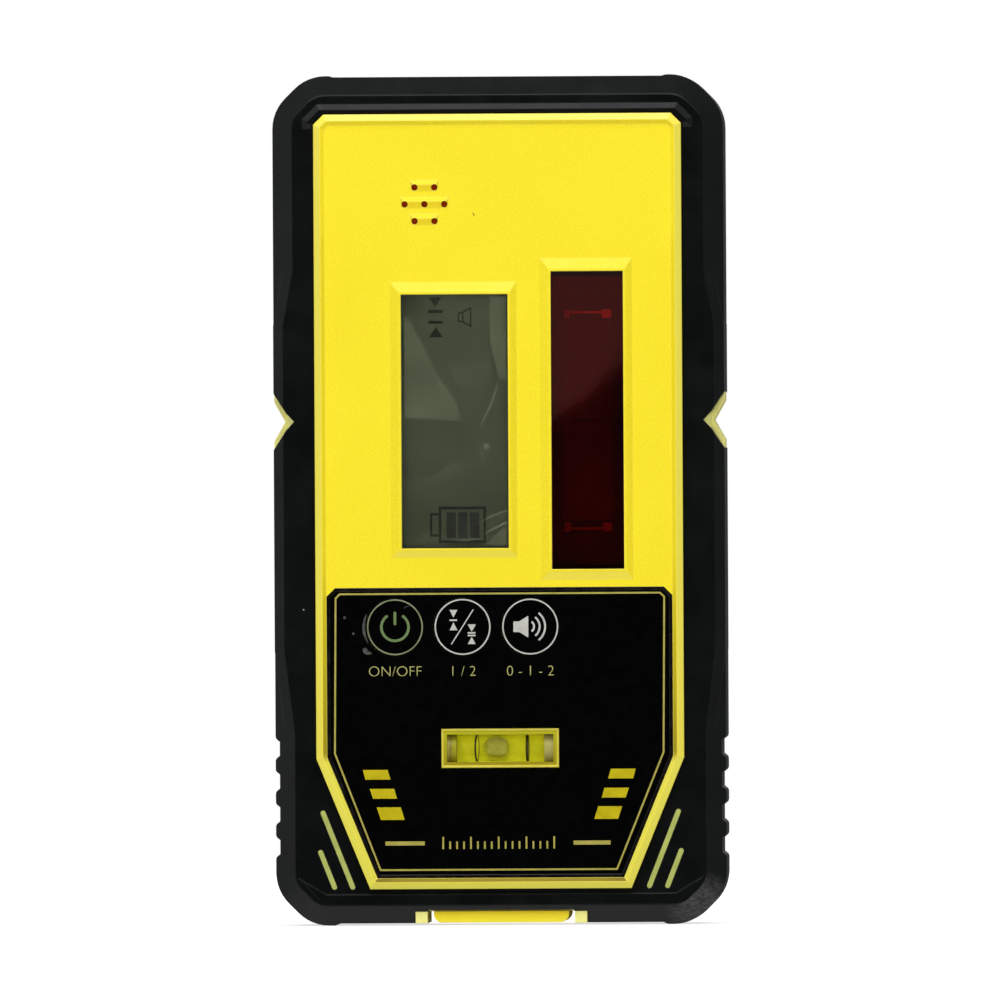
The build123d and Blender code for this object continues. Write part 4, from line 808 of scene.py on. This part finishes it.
power_sign = bmesh.new()
flat_arc(power_sign, POWER_X, KEY_Z, 2.35, 0.45, 122, 296, 72)
power_bar = flat_box(power_sign, POWER_X - 0.24, KEY_Z + 0.35, POWER_X + 0.24, KEY_Z + 2.68)
round_corners(power_sign, power_bar.verts[:], 0.21, 4)
lay_piece("power_sign", power_sign, green_ink, "power_key", FILM_LEVEL, INK_HEIGHT)

beam_sign = bmesh.new()
for mark in (
    [(-2.26, 2.95), (-0.88, 2.95), (-1.58, 1.62)],
    [(-2.26, -0.58), (-0.88, -0.58), (-1.58, 0.78)],
    [(-2.07, -3.0), (-1.83, -3.0), (1.97, 2.98), (1.73, 2.98)],
    [(0.88, 0.44), (2.30, 0.44), (1.58, -0.86)],
    [(0.88, -2.98), (2.25, -2.98), (1.58, -1.74)],
):
    flat_face(beam_sign, on_key(BEAM_X, mark))
for left, right, foot in ((-2.26, -0.95, 1.03), (0.88, 2.22, -1.17), (0.88, 2.22, -1.62)):
    line_z = KEY_Z + foot
    flat_box(beam_sign, BEAM_X + left, line_z, BEAM_X + right, line_z + SIGN_LINE)
lay_piece("beam_sign", beam_sign, grey_ink, "beam_key", FILM_LEVEL, INK_HEIGHT)

volume_sign = bmesh.new()
speaker_face = flat_face(
    volume_sign,
    on_key(
        VOLUME_X,
        [(-2.92, -0.95), (-1.9, -0.95), (-0.33, -1.9), (-0.33, 1.88), (-1.9, 0.9), (-2.92, 0.9)],
    ),
)
round_corners(volume_sign, speaker_face.verts[:], 0.12, 3)
for wave_radius in (1.08, 2.05, 3.0):
    flat_arc(volume_sign, VOLUME_X - 0.42, KEY_Z, wave_radius, WAVE_WIDTH, -52, 104, 24)
lay_piece("volume_sign", volume_sign, grey_ink, "volume_key", FILM_LEVEL, INK_HEIGHT)


def flat_words(shape, text, x, z, height):
    """Plain sans figures, centred on x with their feet at z, height in millimetres."""
    curve = bpy.data.curves.new(text, "FONT")
    curve.body = text
    curve.align_x = "CENTER"
    curve.size = height * MM / CAPITAL_SHARE
    curve.offset = -STROKE_TRIM * MM
    holder = bpy.data.objects.new(text, curve)
    mesh = bpy.data.meshes.new_from_object(holder)
    mesh.transform(Matrix.Translation((x * MM, 0, z * MM)) @ Matrix.Rotation(math.pi / 2, 4, "X"))
    shape.from_mesh(mesh)
    bpy.data.meshes.remove(mesh)
    bpy.data.objects.remove(holder)
    bpy.data.curves.remove(curve)


label_ink = screen_ink("label_ink", (0.44, 0.425, 0.15), (0.40, 0.385, 0.13), (0.48, 0.465, 0.17))
settings = bmesh.new()
for label, label_x in (("ON/OFF", POWER_X), ("1 / 2", BEAM_X), ("0 - 1 - 2", VOLUME_X)):
    flat_words(settings, label, label_x, SETTING_Z, SETTING_HEIGHT)
lay_piece("key_settings", settings, label_ink, "case", FILM_LEVEL, INK_HEIGHT)

# Key liners: thin gaskets of black rubber in the key pockets, which keep dust out of the gap round
# a key. Each is a ring with a flat foot, pushed into its pocket before the film goes on.
LINER_RADIUS, LINER_WALL, LINER_LEVEL, LINER_HEIGHT = 5.38, 0.2, 13.02, 0.64
FOOT_RADIUS, FOOT_WIDTH, FOOT_LEVEL, FOOT_HEIGHT = 5.15, 2.85, 13.01, 0.08
liners = bmesh.new()
for liner_x in (POWER_X, BEAM_X, VOLUME_X):
    hollow(liners, flat_disc(liners, liner_x, KEY_Z, LINER_RADIUS), LINER_WALL)
lay_piece("key_liners", liners, gasket_rubber, "case", LINER_LEVEL, LINER_HEIGHT)
liner_floors = bmesh.new()
for liner_x in (POWER_X, BEAM_X, VOLUME_X):
    hollow(liner_floors, flat_disc(liner_floors, liner_x, KEY_Z, FOOT_RADIUS), FOOT_WIDTH)
lay_piece("key_liner_floors", liner_floors, gasket_rubber, "case", FOOT_LEVEL, FOOT_HEIGHT)

# Film blemishes: specks of air trapped in the glue under the film, a patch and a crescent beside
# the power key where the film has lifted, and a short scratch on that key.
CRESCENT_RADIUS = 5.42
trapped_air = new_finish("trapped_air", (0.05, 0.054, 0.05), 0.4)
mottle(trapped_air, 0.6 * MM, (0.022, 0.024, 0.022), (0.075, 0.08, 0.075), 3.0)
blemishes = bmesh.new()
for speck_x, speck_z, speck_radius in ((-26.8, 53.3, 0.24), (-25.3, 50.5, 0.22)):
    flat_disc(blemishes, speck_x, speck_z, speck_radius, 20)
flat_face(
    blemishes,
    [
        (-23.75, 47.75), (-23.5, 47.15), (-22.9, 46.85), (-22.1, 47.0),
        (-22.3, 47.3), (-22.8, 47.6), (-23.0, 48.0), (-23.45, 48.1),
    ],
)
crescent = [
    (POWER_X - CRESCENT_RADIUS * math.cos(turn), KEY_Z + CRESCENT_RADIUS * math.sin(turn))
    for turn in (0.45, 0.25, 0.05, -0.15, -0.35, -0.55)
]
flat_face(blemishes, strip_outline(crescent, (0.06, 0.34, 0.48, 0.48, 0.34, 0.06)))
lay_piece("film_blemishes", blemishes, trapped_air, "case", FILM_LEVEL, INK_HEIGHT)

scratch = bmesh.new()
scratch_line = [(-16.6, 54.8), (-16.2, 55.1), (-15.6, 55.3)]
flat_face(scratch, strip_outline(scratch_line, (0.04, 0.12, 0.04)))
lay_piece("film_scratch", scratch, trapped_air, "power_key", FILM_LEVEL + INK_HEIGHT, INK_HEIGHT)

# Marks of use: a brown fleck on the face under the sounder, and a pale crumb of dust that has
# stuck to the left side of the bumper. Both are thin and lie flat on what they soil.
FACE_LEVEL = 14.3
FLECK_HEIGHT, CRUMB_HEIGHT = 0.02, 0.06
fleck_brown = new_finish("fleck_brown", (0.20, 0.15, 0.010), 0.7)
mottle(fleck_brown, 0.2 * MM, (0.14, 0.10, 0.008), (0.40, 0.31, 0.014), 3.0)
fleck = bmesh.new()
fleck_line = [(-4.25, 123.25), (-4.1, 122.9), (-3.95, 122.55)]
flat_face(fleck, strip_outline(fleck_line, (0.08, 0.24, 0.06)))
lay_piece("face_fleck", fleck, fleck_brown, "case", FACE_LEVEL, FLECK_HEIGHT)

dust_grey = new_finish("dust_grey", (0.62, 0.63, 0.62), 0.9)
mottle(dust_grey, 0.1 * MM, (0.50, 0.51, 0.50), (0.74, 0.75, 0.74), 3.0)
crumb = bmesh.new()
flat_disc(crumb, -33.9, 54.7, 0.11, 12)
lay_piece("bumper_crumb", crumb, dust_grey, "case", BUMPER_LEVEL, CRUMB_HEIGHT)

# Bubble vial: clear acrylic block, bored and half lined with a yellow-green reflector, full of
# spirit, plugged at both ends and glued into a yellow cradle. Two black lines are painted in
# the bore, a little askew, and a bubble of air with a dark meniscus rides between them. The
# meniscus ring and the browner foot of the bubble are painted shade, and a pale patch in the
# bubble is a painted highlight.
VIAL_Z = 30.6
VIAL_LEVEL = 11.2
VIAL_FRAME_LEVEL = 14.0
EDGE_WIDTH = 0.5
LINE_OUTER, LINE_INNER = 2.27, 2.2
LEFT_LEAN, RIGHT_LEAN = 0.13, 0.03
GLUE_LEFT, GLUE_RIGHT = -9.14, -8.45
BUBBLE_X = -0.7
MENISCUS_RADIUS, MENISCUS_WIDTH = 2.18, 0.32
GLEAM_RISE = 0.6
cradle_abs = new_finish("cradle_abs", (0.62, 0.53, 0.03), 0.4)
mottle(cradle_abs, 1.5 * MM, (0.58, 0.49, 0.025), (0.66, 0.57, 0.04), 4.0)
# Paler colour along the cradle's edges: wear, and also a painted highlight.
soften_edges(cradle_abs, 0.15 * MM, (0.74, 0.68, 0.20), 0.6)
roughen(cradle_abs, 0.36 * MM, 0.01 * MM, 3.0)
dress(cradle_abs, "vial_cradle")
clear_block = new_finish("clear_block", (0.60, 0.58, 0.02), 0.06, Alpha=0.015)
uneven_gloss(clear_block, 2 * MM, 0.03, 0.1)
dress(clear_block, "vial_block")

plug_plastic = new_finish("plug_plastic", (0.52, 0.45, 0.16), 0.5, Specular_IOR_Level=0.2)
vary_color(
    plug_plastic, across(plug_plastic, "X", -8.0, 8.0),
    (0.31, 0.30, 0.014), (0.39, 0.35, 0.105), (0.0, 1.0),
)
roughen(plug_plastic, 0.4 * MM, 0.02 * MM)
dress(plug_plastic, "vial_plugs")


def bore_strip(shape, left, right, outer, inner, start, sweep, lean=0.0):
    """Curved strip along the wall of the bore, in degrees from straight down towards the back.
    Lean carries its front towards the left, in millimetres for each millimetre of depth."""
    axis = Vector((0, -VIAL_LEVEL, VIAL_Z)) * MM
    others = set(shape.verts)
    angle = math.radians(start)
    out = Vector((0, math.sin(angle), -math.cos(angle)))
    corners = ((left, inner), (right, inner), (right, outer), (left, outer))
    profile = [shape.verts.new(axis + Vector((x * MM, 0, 0)) + out * r * MM) for x, r in corners]
    face = shape.faces.new(profile)
    section = [*profile, *face.edges]
    full = sweep == 360
    if full:
        bmesh.ops.delete(shape, geom=[face], context="FACES_ONLY")
    else:
        section.append(face)
    bmesh.ops.spin(
        shape, geom=section, cent=axis, axis=(1, 0, 0),
        angle=math.radians(sweep), steps=48, use_merge=full,
    )
    for vert in set(shape.verts) - others:
        vert.co.x += lean * (vert.co.y - axis.y)


reflector_green = new_finish("reflector_green", (0.80, 0.79, 0.018), 0.4, Specular_IOR_Level=0.15)
mottle(reflector_green, 1.2 * MM, (0.75, 0.74, 0.015), (0.85, 0.835, 0.022), 4.0)
reflector = bmesh.new()
bore_strip(reflector, -7.59, 7.59, 2.37, 2.28, 0, 180)
new_piece("vial_reflector", reflector, reflector_green, "case")

# Painted shade: a darker olive band round the bore's edges, darker towards the bottom.
edge_painted_shade = new_finish("edge_painted_shade", (0.30, 0.28, 0.010), 0.4, Specular_IOR_Level=0.15)
vary_color(
    edge_painted_shade, across(edge_painted_shade, "Z", 27.7, 33.5),
    (0.33, 0.26, 0.008), (0.45, 0.435, 0.014), (0.0, 1.0),
)
tint(edge_painted_shade, patches(edge_painted_shade, 1.2 * MM, 4.0), (0.86, 0.86, 0.8), "MULTIPLY")
edge_shade_band = bmesh.new()
edge_face = flat_box(edge_shade_band, -9.69, VIAL_Z - 2.89, 9.69, VIAL_Z + 2.89)
hollow(edge_shade_band, edge_face, EDGE_WIDTH)
lay_piece("vial_edge_painted_shade", edge_shade_band, edge_painted_shade, "case", VIAL_FRAME_LEVEL, INK_HEIGHT)

line_black = new_finish("line_black", (0.008, 0.008, 0.006), 0.4, Specular_IOR_Level=0.1)
mottle(line_black, 1 * MM, (0.006, 0.006, 0.004), (0.012, 0.012, 0.010))
lines = bmesh.new()
bore_strip(lines, -4.20, -3.90, LINE_OUTER, LINE_INNER, 180, 180, LEFT_LEAN)
bore_strip(lines, 4.44, 4.84, LINE_OUTER, LINE_INNER, 180, 180, RIGHT_LEAN)
vial_lines = new_piece("vial_lines", lines, line_black, "case")
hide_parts("vial_rings")

line_olive = new_finish("line_olive", (0.10, 0.11, 0.008), 0.4)
mottle(line_olive, 1 * MM, (0.08, 0.09, 0.006), (0.13, 0.14, 0.010))
lines_behind = bmesh.new()
bore_strip(lines_behind, -4.14, -4.02, LINE_OUTER, LINE_INNER, 0, 180, LEFT_LEAN)
bore_strip(lines_behind, 4.62, 4.86, LINE_OUTER, LINE_INNER, 0, 180, RIGHT_LEAN)
new_piece("vial_lines_behind", lines_behind, line_olive, "case")

glue_brown = new_finish("glue_brown", (0.25, 0.19, 0.035), 0.4)
vary_color(
    glue_brown, across(glue_brown, "X", GLUE_LEFT, GLUE_RIGHT),
    (0.42, 0.35, 0.06), (0.22, 0.17, 0.02), (0.1, 0.6),
)
glue = bmesh.new()
bore_strip(glue, GLUE_LEFT, GLUE_RIGHT, 2.46, 2.41, 0, 360)
new_piece("vial_glue", glue, glue_brown, "case")

# Painted shade: the bubble's faint colour is browner towards its foot.
bubble_air = new_finish("bubble_air", (0.62, 0.56, 0.16), 0.2, Alpha=0.06, Specular_IOR_Level=0.2)
vary_color(
    bubble_air, across(bubble_air, "Z", 28.6, 30.4),
    (0.44, 0.32, 0.03), (0.66, 0.62, 0.14), (0.1, 0.9),
)
uneven_gloss(bubble_air, 1 * MM, 0.08, 0.18)
dress(bubble_air, "vial_bubble")

# Painted shade: a dark ring on the bubble's meniscus.
meniscus_painted_shade = new_finish("meniscus_painted_shade", (0.42, 0.40, 0.008), 0.3, Specular_IOR_Level=0.1)
mottle(meniscus_painted_shade, 0.8 * MM, (0.38, 0.36, 0.007), (0.46, 0.44, 0.010))
meniscus = bmesh.new()
hollow(meniscus, flat_disc(meniscus, BUBBLE_X, VIAL_Z, MENISCUS_RADIUS), MENISCUS_WIDTH)
lay_piece("bubble_meniscus_painted_shade", meniscus, meniscus_painted_shade, "vial_bubble", VIAL_LEVEL, INK_HEIGHT)

gleam_pale = new_finish("gleam_pale", (0.80, 0.76, 0.10), 0.5, Alpha=0.3, Specular_IOR_Level=0.1)
vary_value(gleam_pale, "Alpha", patches(gleam_pale, 0.9 * MM), 0.22, 0.36)
gleam = bmesh.new()
gleam_face = flat_box(gleam, BUBBLE_X - 1.6, VIAL_Z - 1.15, BUBBLE_X + 1.75, VIAL_Z + 1.75)
round_corners(gleam, gleam_face.verts[:], 0.75, 5)
lay_piece("bubble_gleam", gleam, gleam_pale, "vial_bubble", VIAL_LEVEL + GLEAM_RISE, INK_HEIGHT)

# Rear shell: yellow rear half of the case with the battery bay, in the same grained ABS, with the
# same painted light, shade, sheen and highlights. The rear bumper is the same overmoulded rubber
# as the front one.
dress(yellow_abs, "rear_shell")
dress(bumper_rubber, "rear_bumper")

# Clamp insert: turned brass bush, pressed hot into the middle of the back. Its thread takes the
# screw of a rod clamp, which has rubbed the mouth bright.
turned_brass = new_finish("turned_brass", (0.72, 0.50, 0.19), 0.25, Metallic=1.0)
mottle(turned_brass, 2 * MM, (0.66, 0.45, 0.16), (0.78, 0.56, 0.24))
uneven_gloss(turned_brass, 0.5 * MM, 0.18, 0.35, 4.0)
dress(turned_brass, "clamp_insert")

# Battery door: plate of the same yellow ABS on a steel hinge pin, with grip ribs outside. Its
# lower end is a thin tab that shows under the base, painted golden over its top as painted shade
# from the bumper above it, and paler yellow at its foot as painted light.
TAB_PAINTED_SHADE, TAB_PAINTED_LIGHT = (0.99, 0.72, 0.001), (0.99, 0.88, 0.04)
door_abs, door_grain = grained_yellow("door_abs")
tint(door_abs, across(door_abs, "Z", 6.4, 5.0), TAB_PAINTED_SHADE)
tint(door_abs, across(door_abs, "Z", 2.6, 0.4), TAB_PAINTED_LIGHT)
# Paler colour along the edges: edge wear and a painted highlight.
soften_edges(door_abs, 0.2 * MM, RUBBED_HIGHLIGHT_YELLOW, RUBBED_HIGHLIGHT_SHARE)
emboss(door_abs, door_grain, GRAIN_HEIGHT)
dress(door_abs, "battery_door")

# Battery cells: two AA cells that lie head to tail in the bay. Each is a steel can in a shrunk
# dark sleeve without print, which leaves a bright ring of metal bare at both ends.
CAN_STEEL = (0.62, 0.62, 0.60)
cell_sleeve = new_finish("cell_sleeve", (0.05, 0.06, 0.08), 0.35)
mottle(cell_sleeve, 6 * MM, (0.042, 0.050, 0.068), (0.060, 0.070, 0.092))
for start, end in ((12.2, 12.0), (60.6, 60.8)):
    tint(cell_sleeve, across(cell_sleeve, "Z", start, end), CAN_STEEL)
roughen(cell_sleeve, 1.2 * MM, 0.02 * MM)
dress(cell_sleeve, "battery_cells")

# Studio: pale floor, a wide soft box above and in front, softer light from the room, and a white
# backdrop that only the view sees. Reflections see a dark room behind the camera, with a bright
# ring of panels round it.
FLOOR_RADIUS, FLOOR_GLOW = 0.8, 0.62
ROOM_LIGHT = 0.28
ROOM_FAVOURS = (0, -0.06, 0.16)
scene = bpy.context.scene
scene.view_settings.view_transform = "Standard"

floor_shape = bmesh.new()
bmesh.ops.create_circle(floor_shape, cap_ends=True, segments=64, radius=FLOOR_RADIUS)
floor_mesh = bpy.data.meshes.new("floor")
floor_shape.to_mesh(floor_mesh)
floor_shape.free()
floor = bpy.data.objects.new("floor", floor_mesh)
scene.collection.objects.link(floor)
floor.visible_glossy = False

pale_floor = new_finish("pale_floor", (0.55, 0.55, 0.55), 0.9)
seen = add_node(pale_floor, "ShaderNodeLightPath")
in_view = combine(
    pale_floor, "MAXIMUM", seen.outputs["Is Camera Ray"], seen.outputs["Is Transmission Ray"]
)
glow = combine(pale_floor, "MULTIPLY", in_view, FLOOR_GLOW)
shader_input(pale_floor, "Emission Color").default_value = (1, 1, 1, 1)
join(pale_floor, glow, shader_input(pale_floor, "Emission Strength"))
floor_mesh.materials.append(pale_floor)

world = bpy.data.worlds.new("studio")
world.use_nodes = True
scene.world = world
background = world.node_tree.nodes["Background"]

ray = add_node(world, "ShaderNodeLightPath")
heading = add_node(world, "ShaderNodeTexCoord")
parts = add_node(world, "ShaderNodeSeparateXYZ")
join(world, heading.outputs["Generated"], parts.inputs["Vector"])
depth = add_node(world, "ShaderNodeMapRange", From_Min=-1.0, From_Max=1.0)
join(world, parts.outputs["Y"], depth.inputs["Value"])
mirrored = add_node(world, "ShaderNodeValToRGB")
stops = mirrored.color_ramp.elements
stops[0].position, stops[1].position = 0.11, 0.985
for stop_place in (0.19, 0.3, 0.4, 0.55, 0.93):
    stops.new(stop_place)
for stop, shade in zip(stops, (0.02, 0.8, 0.95, 0.47, 0.36, 0.55, 0.05)):
    stop.color = (shade, shade, shade, 1)
join(world, depth.outputs["Result"], mirrored.inputs["Fac"])
below = add_node(world, "ShaderNodeMapRange", From_Min=-0.5, From_Max=-0.8, To_Max=0.5)
join(world, parts.outputs["Z"], below.inputs["Value"])
sideways = add_node(
    world, "ShaderNodeMapRange", From_Min=-1.0, From_Max=1.0, To_Min=1.35, To_Max=0.65
)
join(world, parts.outputs["X"], sideways.inputs["Value"])
panels = combine(world, "MULTIPLY", mirrored.outputs["Color"], sideways.outputs["Result"])
around = combine(world, "ADD", panels, below.outputs["Result"])
glassy_ray = combine(
    world, "MAXIMUM", ray.outputs["Is Glossy Ray"], ray.outputs["Is Transmission Ray"]
)
favoured = add_node(world, "ShaderNodeVectorMath")
favoured.operation = "DOT_PRODUCT"
favoured.inputs[1].default_value = ROOM_FAVOURS
join(world, heading.outputs["Generated"], favoured.inputs[0])
ambient = combine(world, "ADD", favoured.outputs["Value"], ROOM_LIGHT)
room = add_node(world, "ShaderNodeMix")
join(world, ambient, room.inputs["A"])
join(world, glassy_ray, room.inputs["Factor"])
join(world, around, room.inputs["B"])
strength = combine(world, "MAXIMUM", ray.outputs["Is Camera Ray"], room.outputs["Result"])
background.inputs["Color"].default_value = (1, 1, 1, 1)
join(world, strength, background.inputs["Strength"])
world.cycles.sampling_method = "NONE"

AIM = Vector((-0.0002, 0, 0.0735))
for lamp_name, place, size, power, gleams in (
    ("top_softbox", (-0.05, -0.80, 1.05), (1.4, 0.8), 10.7, True),
    ("front_fill", (0.0, -1.30, 0.12), (0.9, 0.3), 5.7, False),
    ("back_softbox", (0.10, 1.10, 0.90), (1.2, 0.7), 9.0, True),
):
    lamp_data = bpy.data.lights.new(lamp_name, "AREA")
    lamp_data.shape = "RECTANGLE"
    lamp_data.size, lamp_data.size_y = size
    lamp_data.energy = power
    lamp = bpy.data.objects.new(lamp_name, lamp_data)
    lamp.location = place
    lamp.visible_glossy = lamp.visible_transmission = gleams
    lamp.rotation_euler = (AIM - Vector(place)).to_track_quat("-Z", "Y").to_euler()
    scene.collection.objects.link(lamp)

# Camera: level with the middle of the case, far off with a long lens, a touch to the right, and
# turned by a third of a degree, because the case leans that much in the view.
VIEW_DISTANCE = 6.0
VIEW_AZIMUTH = math.radians(1.6)
VIEW_ROLL = math.radians(-0.31)
FRAME_HEIGHT = 0.1733
camera_data = bpy.data.cameras.new("camera")
camera_data.sensor_width = 36.0
camera_data.lens = camera_data.sensor_width * VIEW_DISTANCE / FRAME_HEIGHT
camera = bpy.data.objects.new("camera", camera_data)
away = Vector((math.sin(VIEW_AZIMUTH), -math.cos(VIEW_AZIMUTH), 0))
camera.location = AIM + away * VIEW_DISTANCE
turn = (-away).to_track_quat("-Z", "Y").to_matrix() @ Matrix.Rotation(VIEW_ROLL, 3, "Z")
camera.rotation_euler = turn.to_euler()
scene.collection.objects.link(camera)
scene.camera = camera

# Reflection card: a dim board between the camera and the case that only mirrored rays meet.
# It shows as the paler upper part of the reception window, above a wavy edge.
CARD_DISTANCE = 0.6
CARD_GLOW = 0.19
CARD_OUTLINE = (
    (5.0, 86.2), (9.6, 87.6), (12.9, 89.9), (15.5, 91.35), (17.5, 93.4), (18.4, 94.8),
    (19.9, 96.2), (21.4, 97.0), (24.0, 98.0), (24.0, 118.0), (5.0, 118.0),
)
WINDOW_LEVEL = 14.4
spread = (CARD_DISTANCE - WINDOW_LEVEL * MM) / (VIEW_DISTANCE - WINDOW_LEVEL * MM)
card_shape = bmesh.new()
flat_face(
    card_shape,
    [
        (x + (x - camera.location.x / MM) * spread, z + (z - camera.location.z / MM) * spread)
        for x, z in CARD_OUTLINE
    ],
)
bmesh.ops.translate(card_shape, verts=card_shape.verts, vec=(0, -CARD_DISTANCE, 0))
card_mesh = bpy.data.meshes.new("reflection_card")
card_shape.to_mesh(card_mesh)
card_shape.free()
dim_board = new_finish(
    "dim_board", (0, 0, 0), 1.0, Emission_Color=(1, 0.97, 0.86, 1), Emission_Strength=CARD_GLOW
)
card_mesh.materials.append(dim_board)
card = bpy.data.objects.new("reflection_card", card_mesh)
card.visible_camera = card.visible_diffuse = card.visible_shadow = False
scene.collection.objects.link(card)
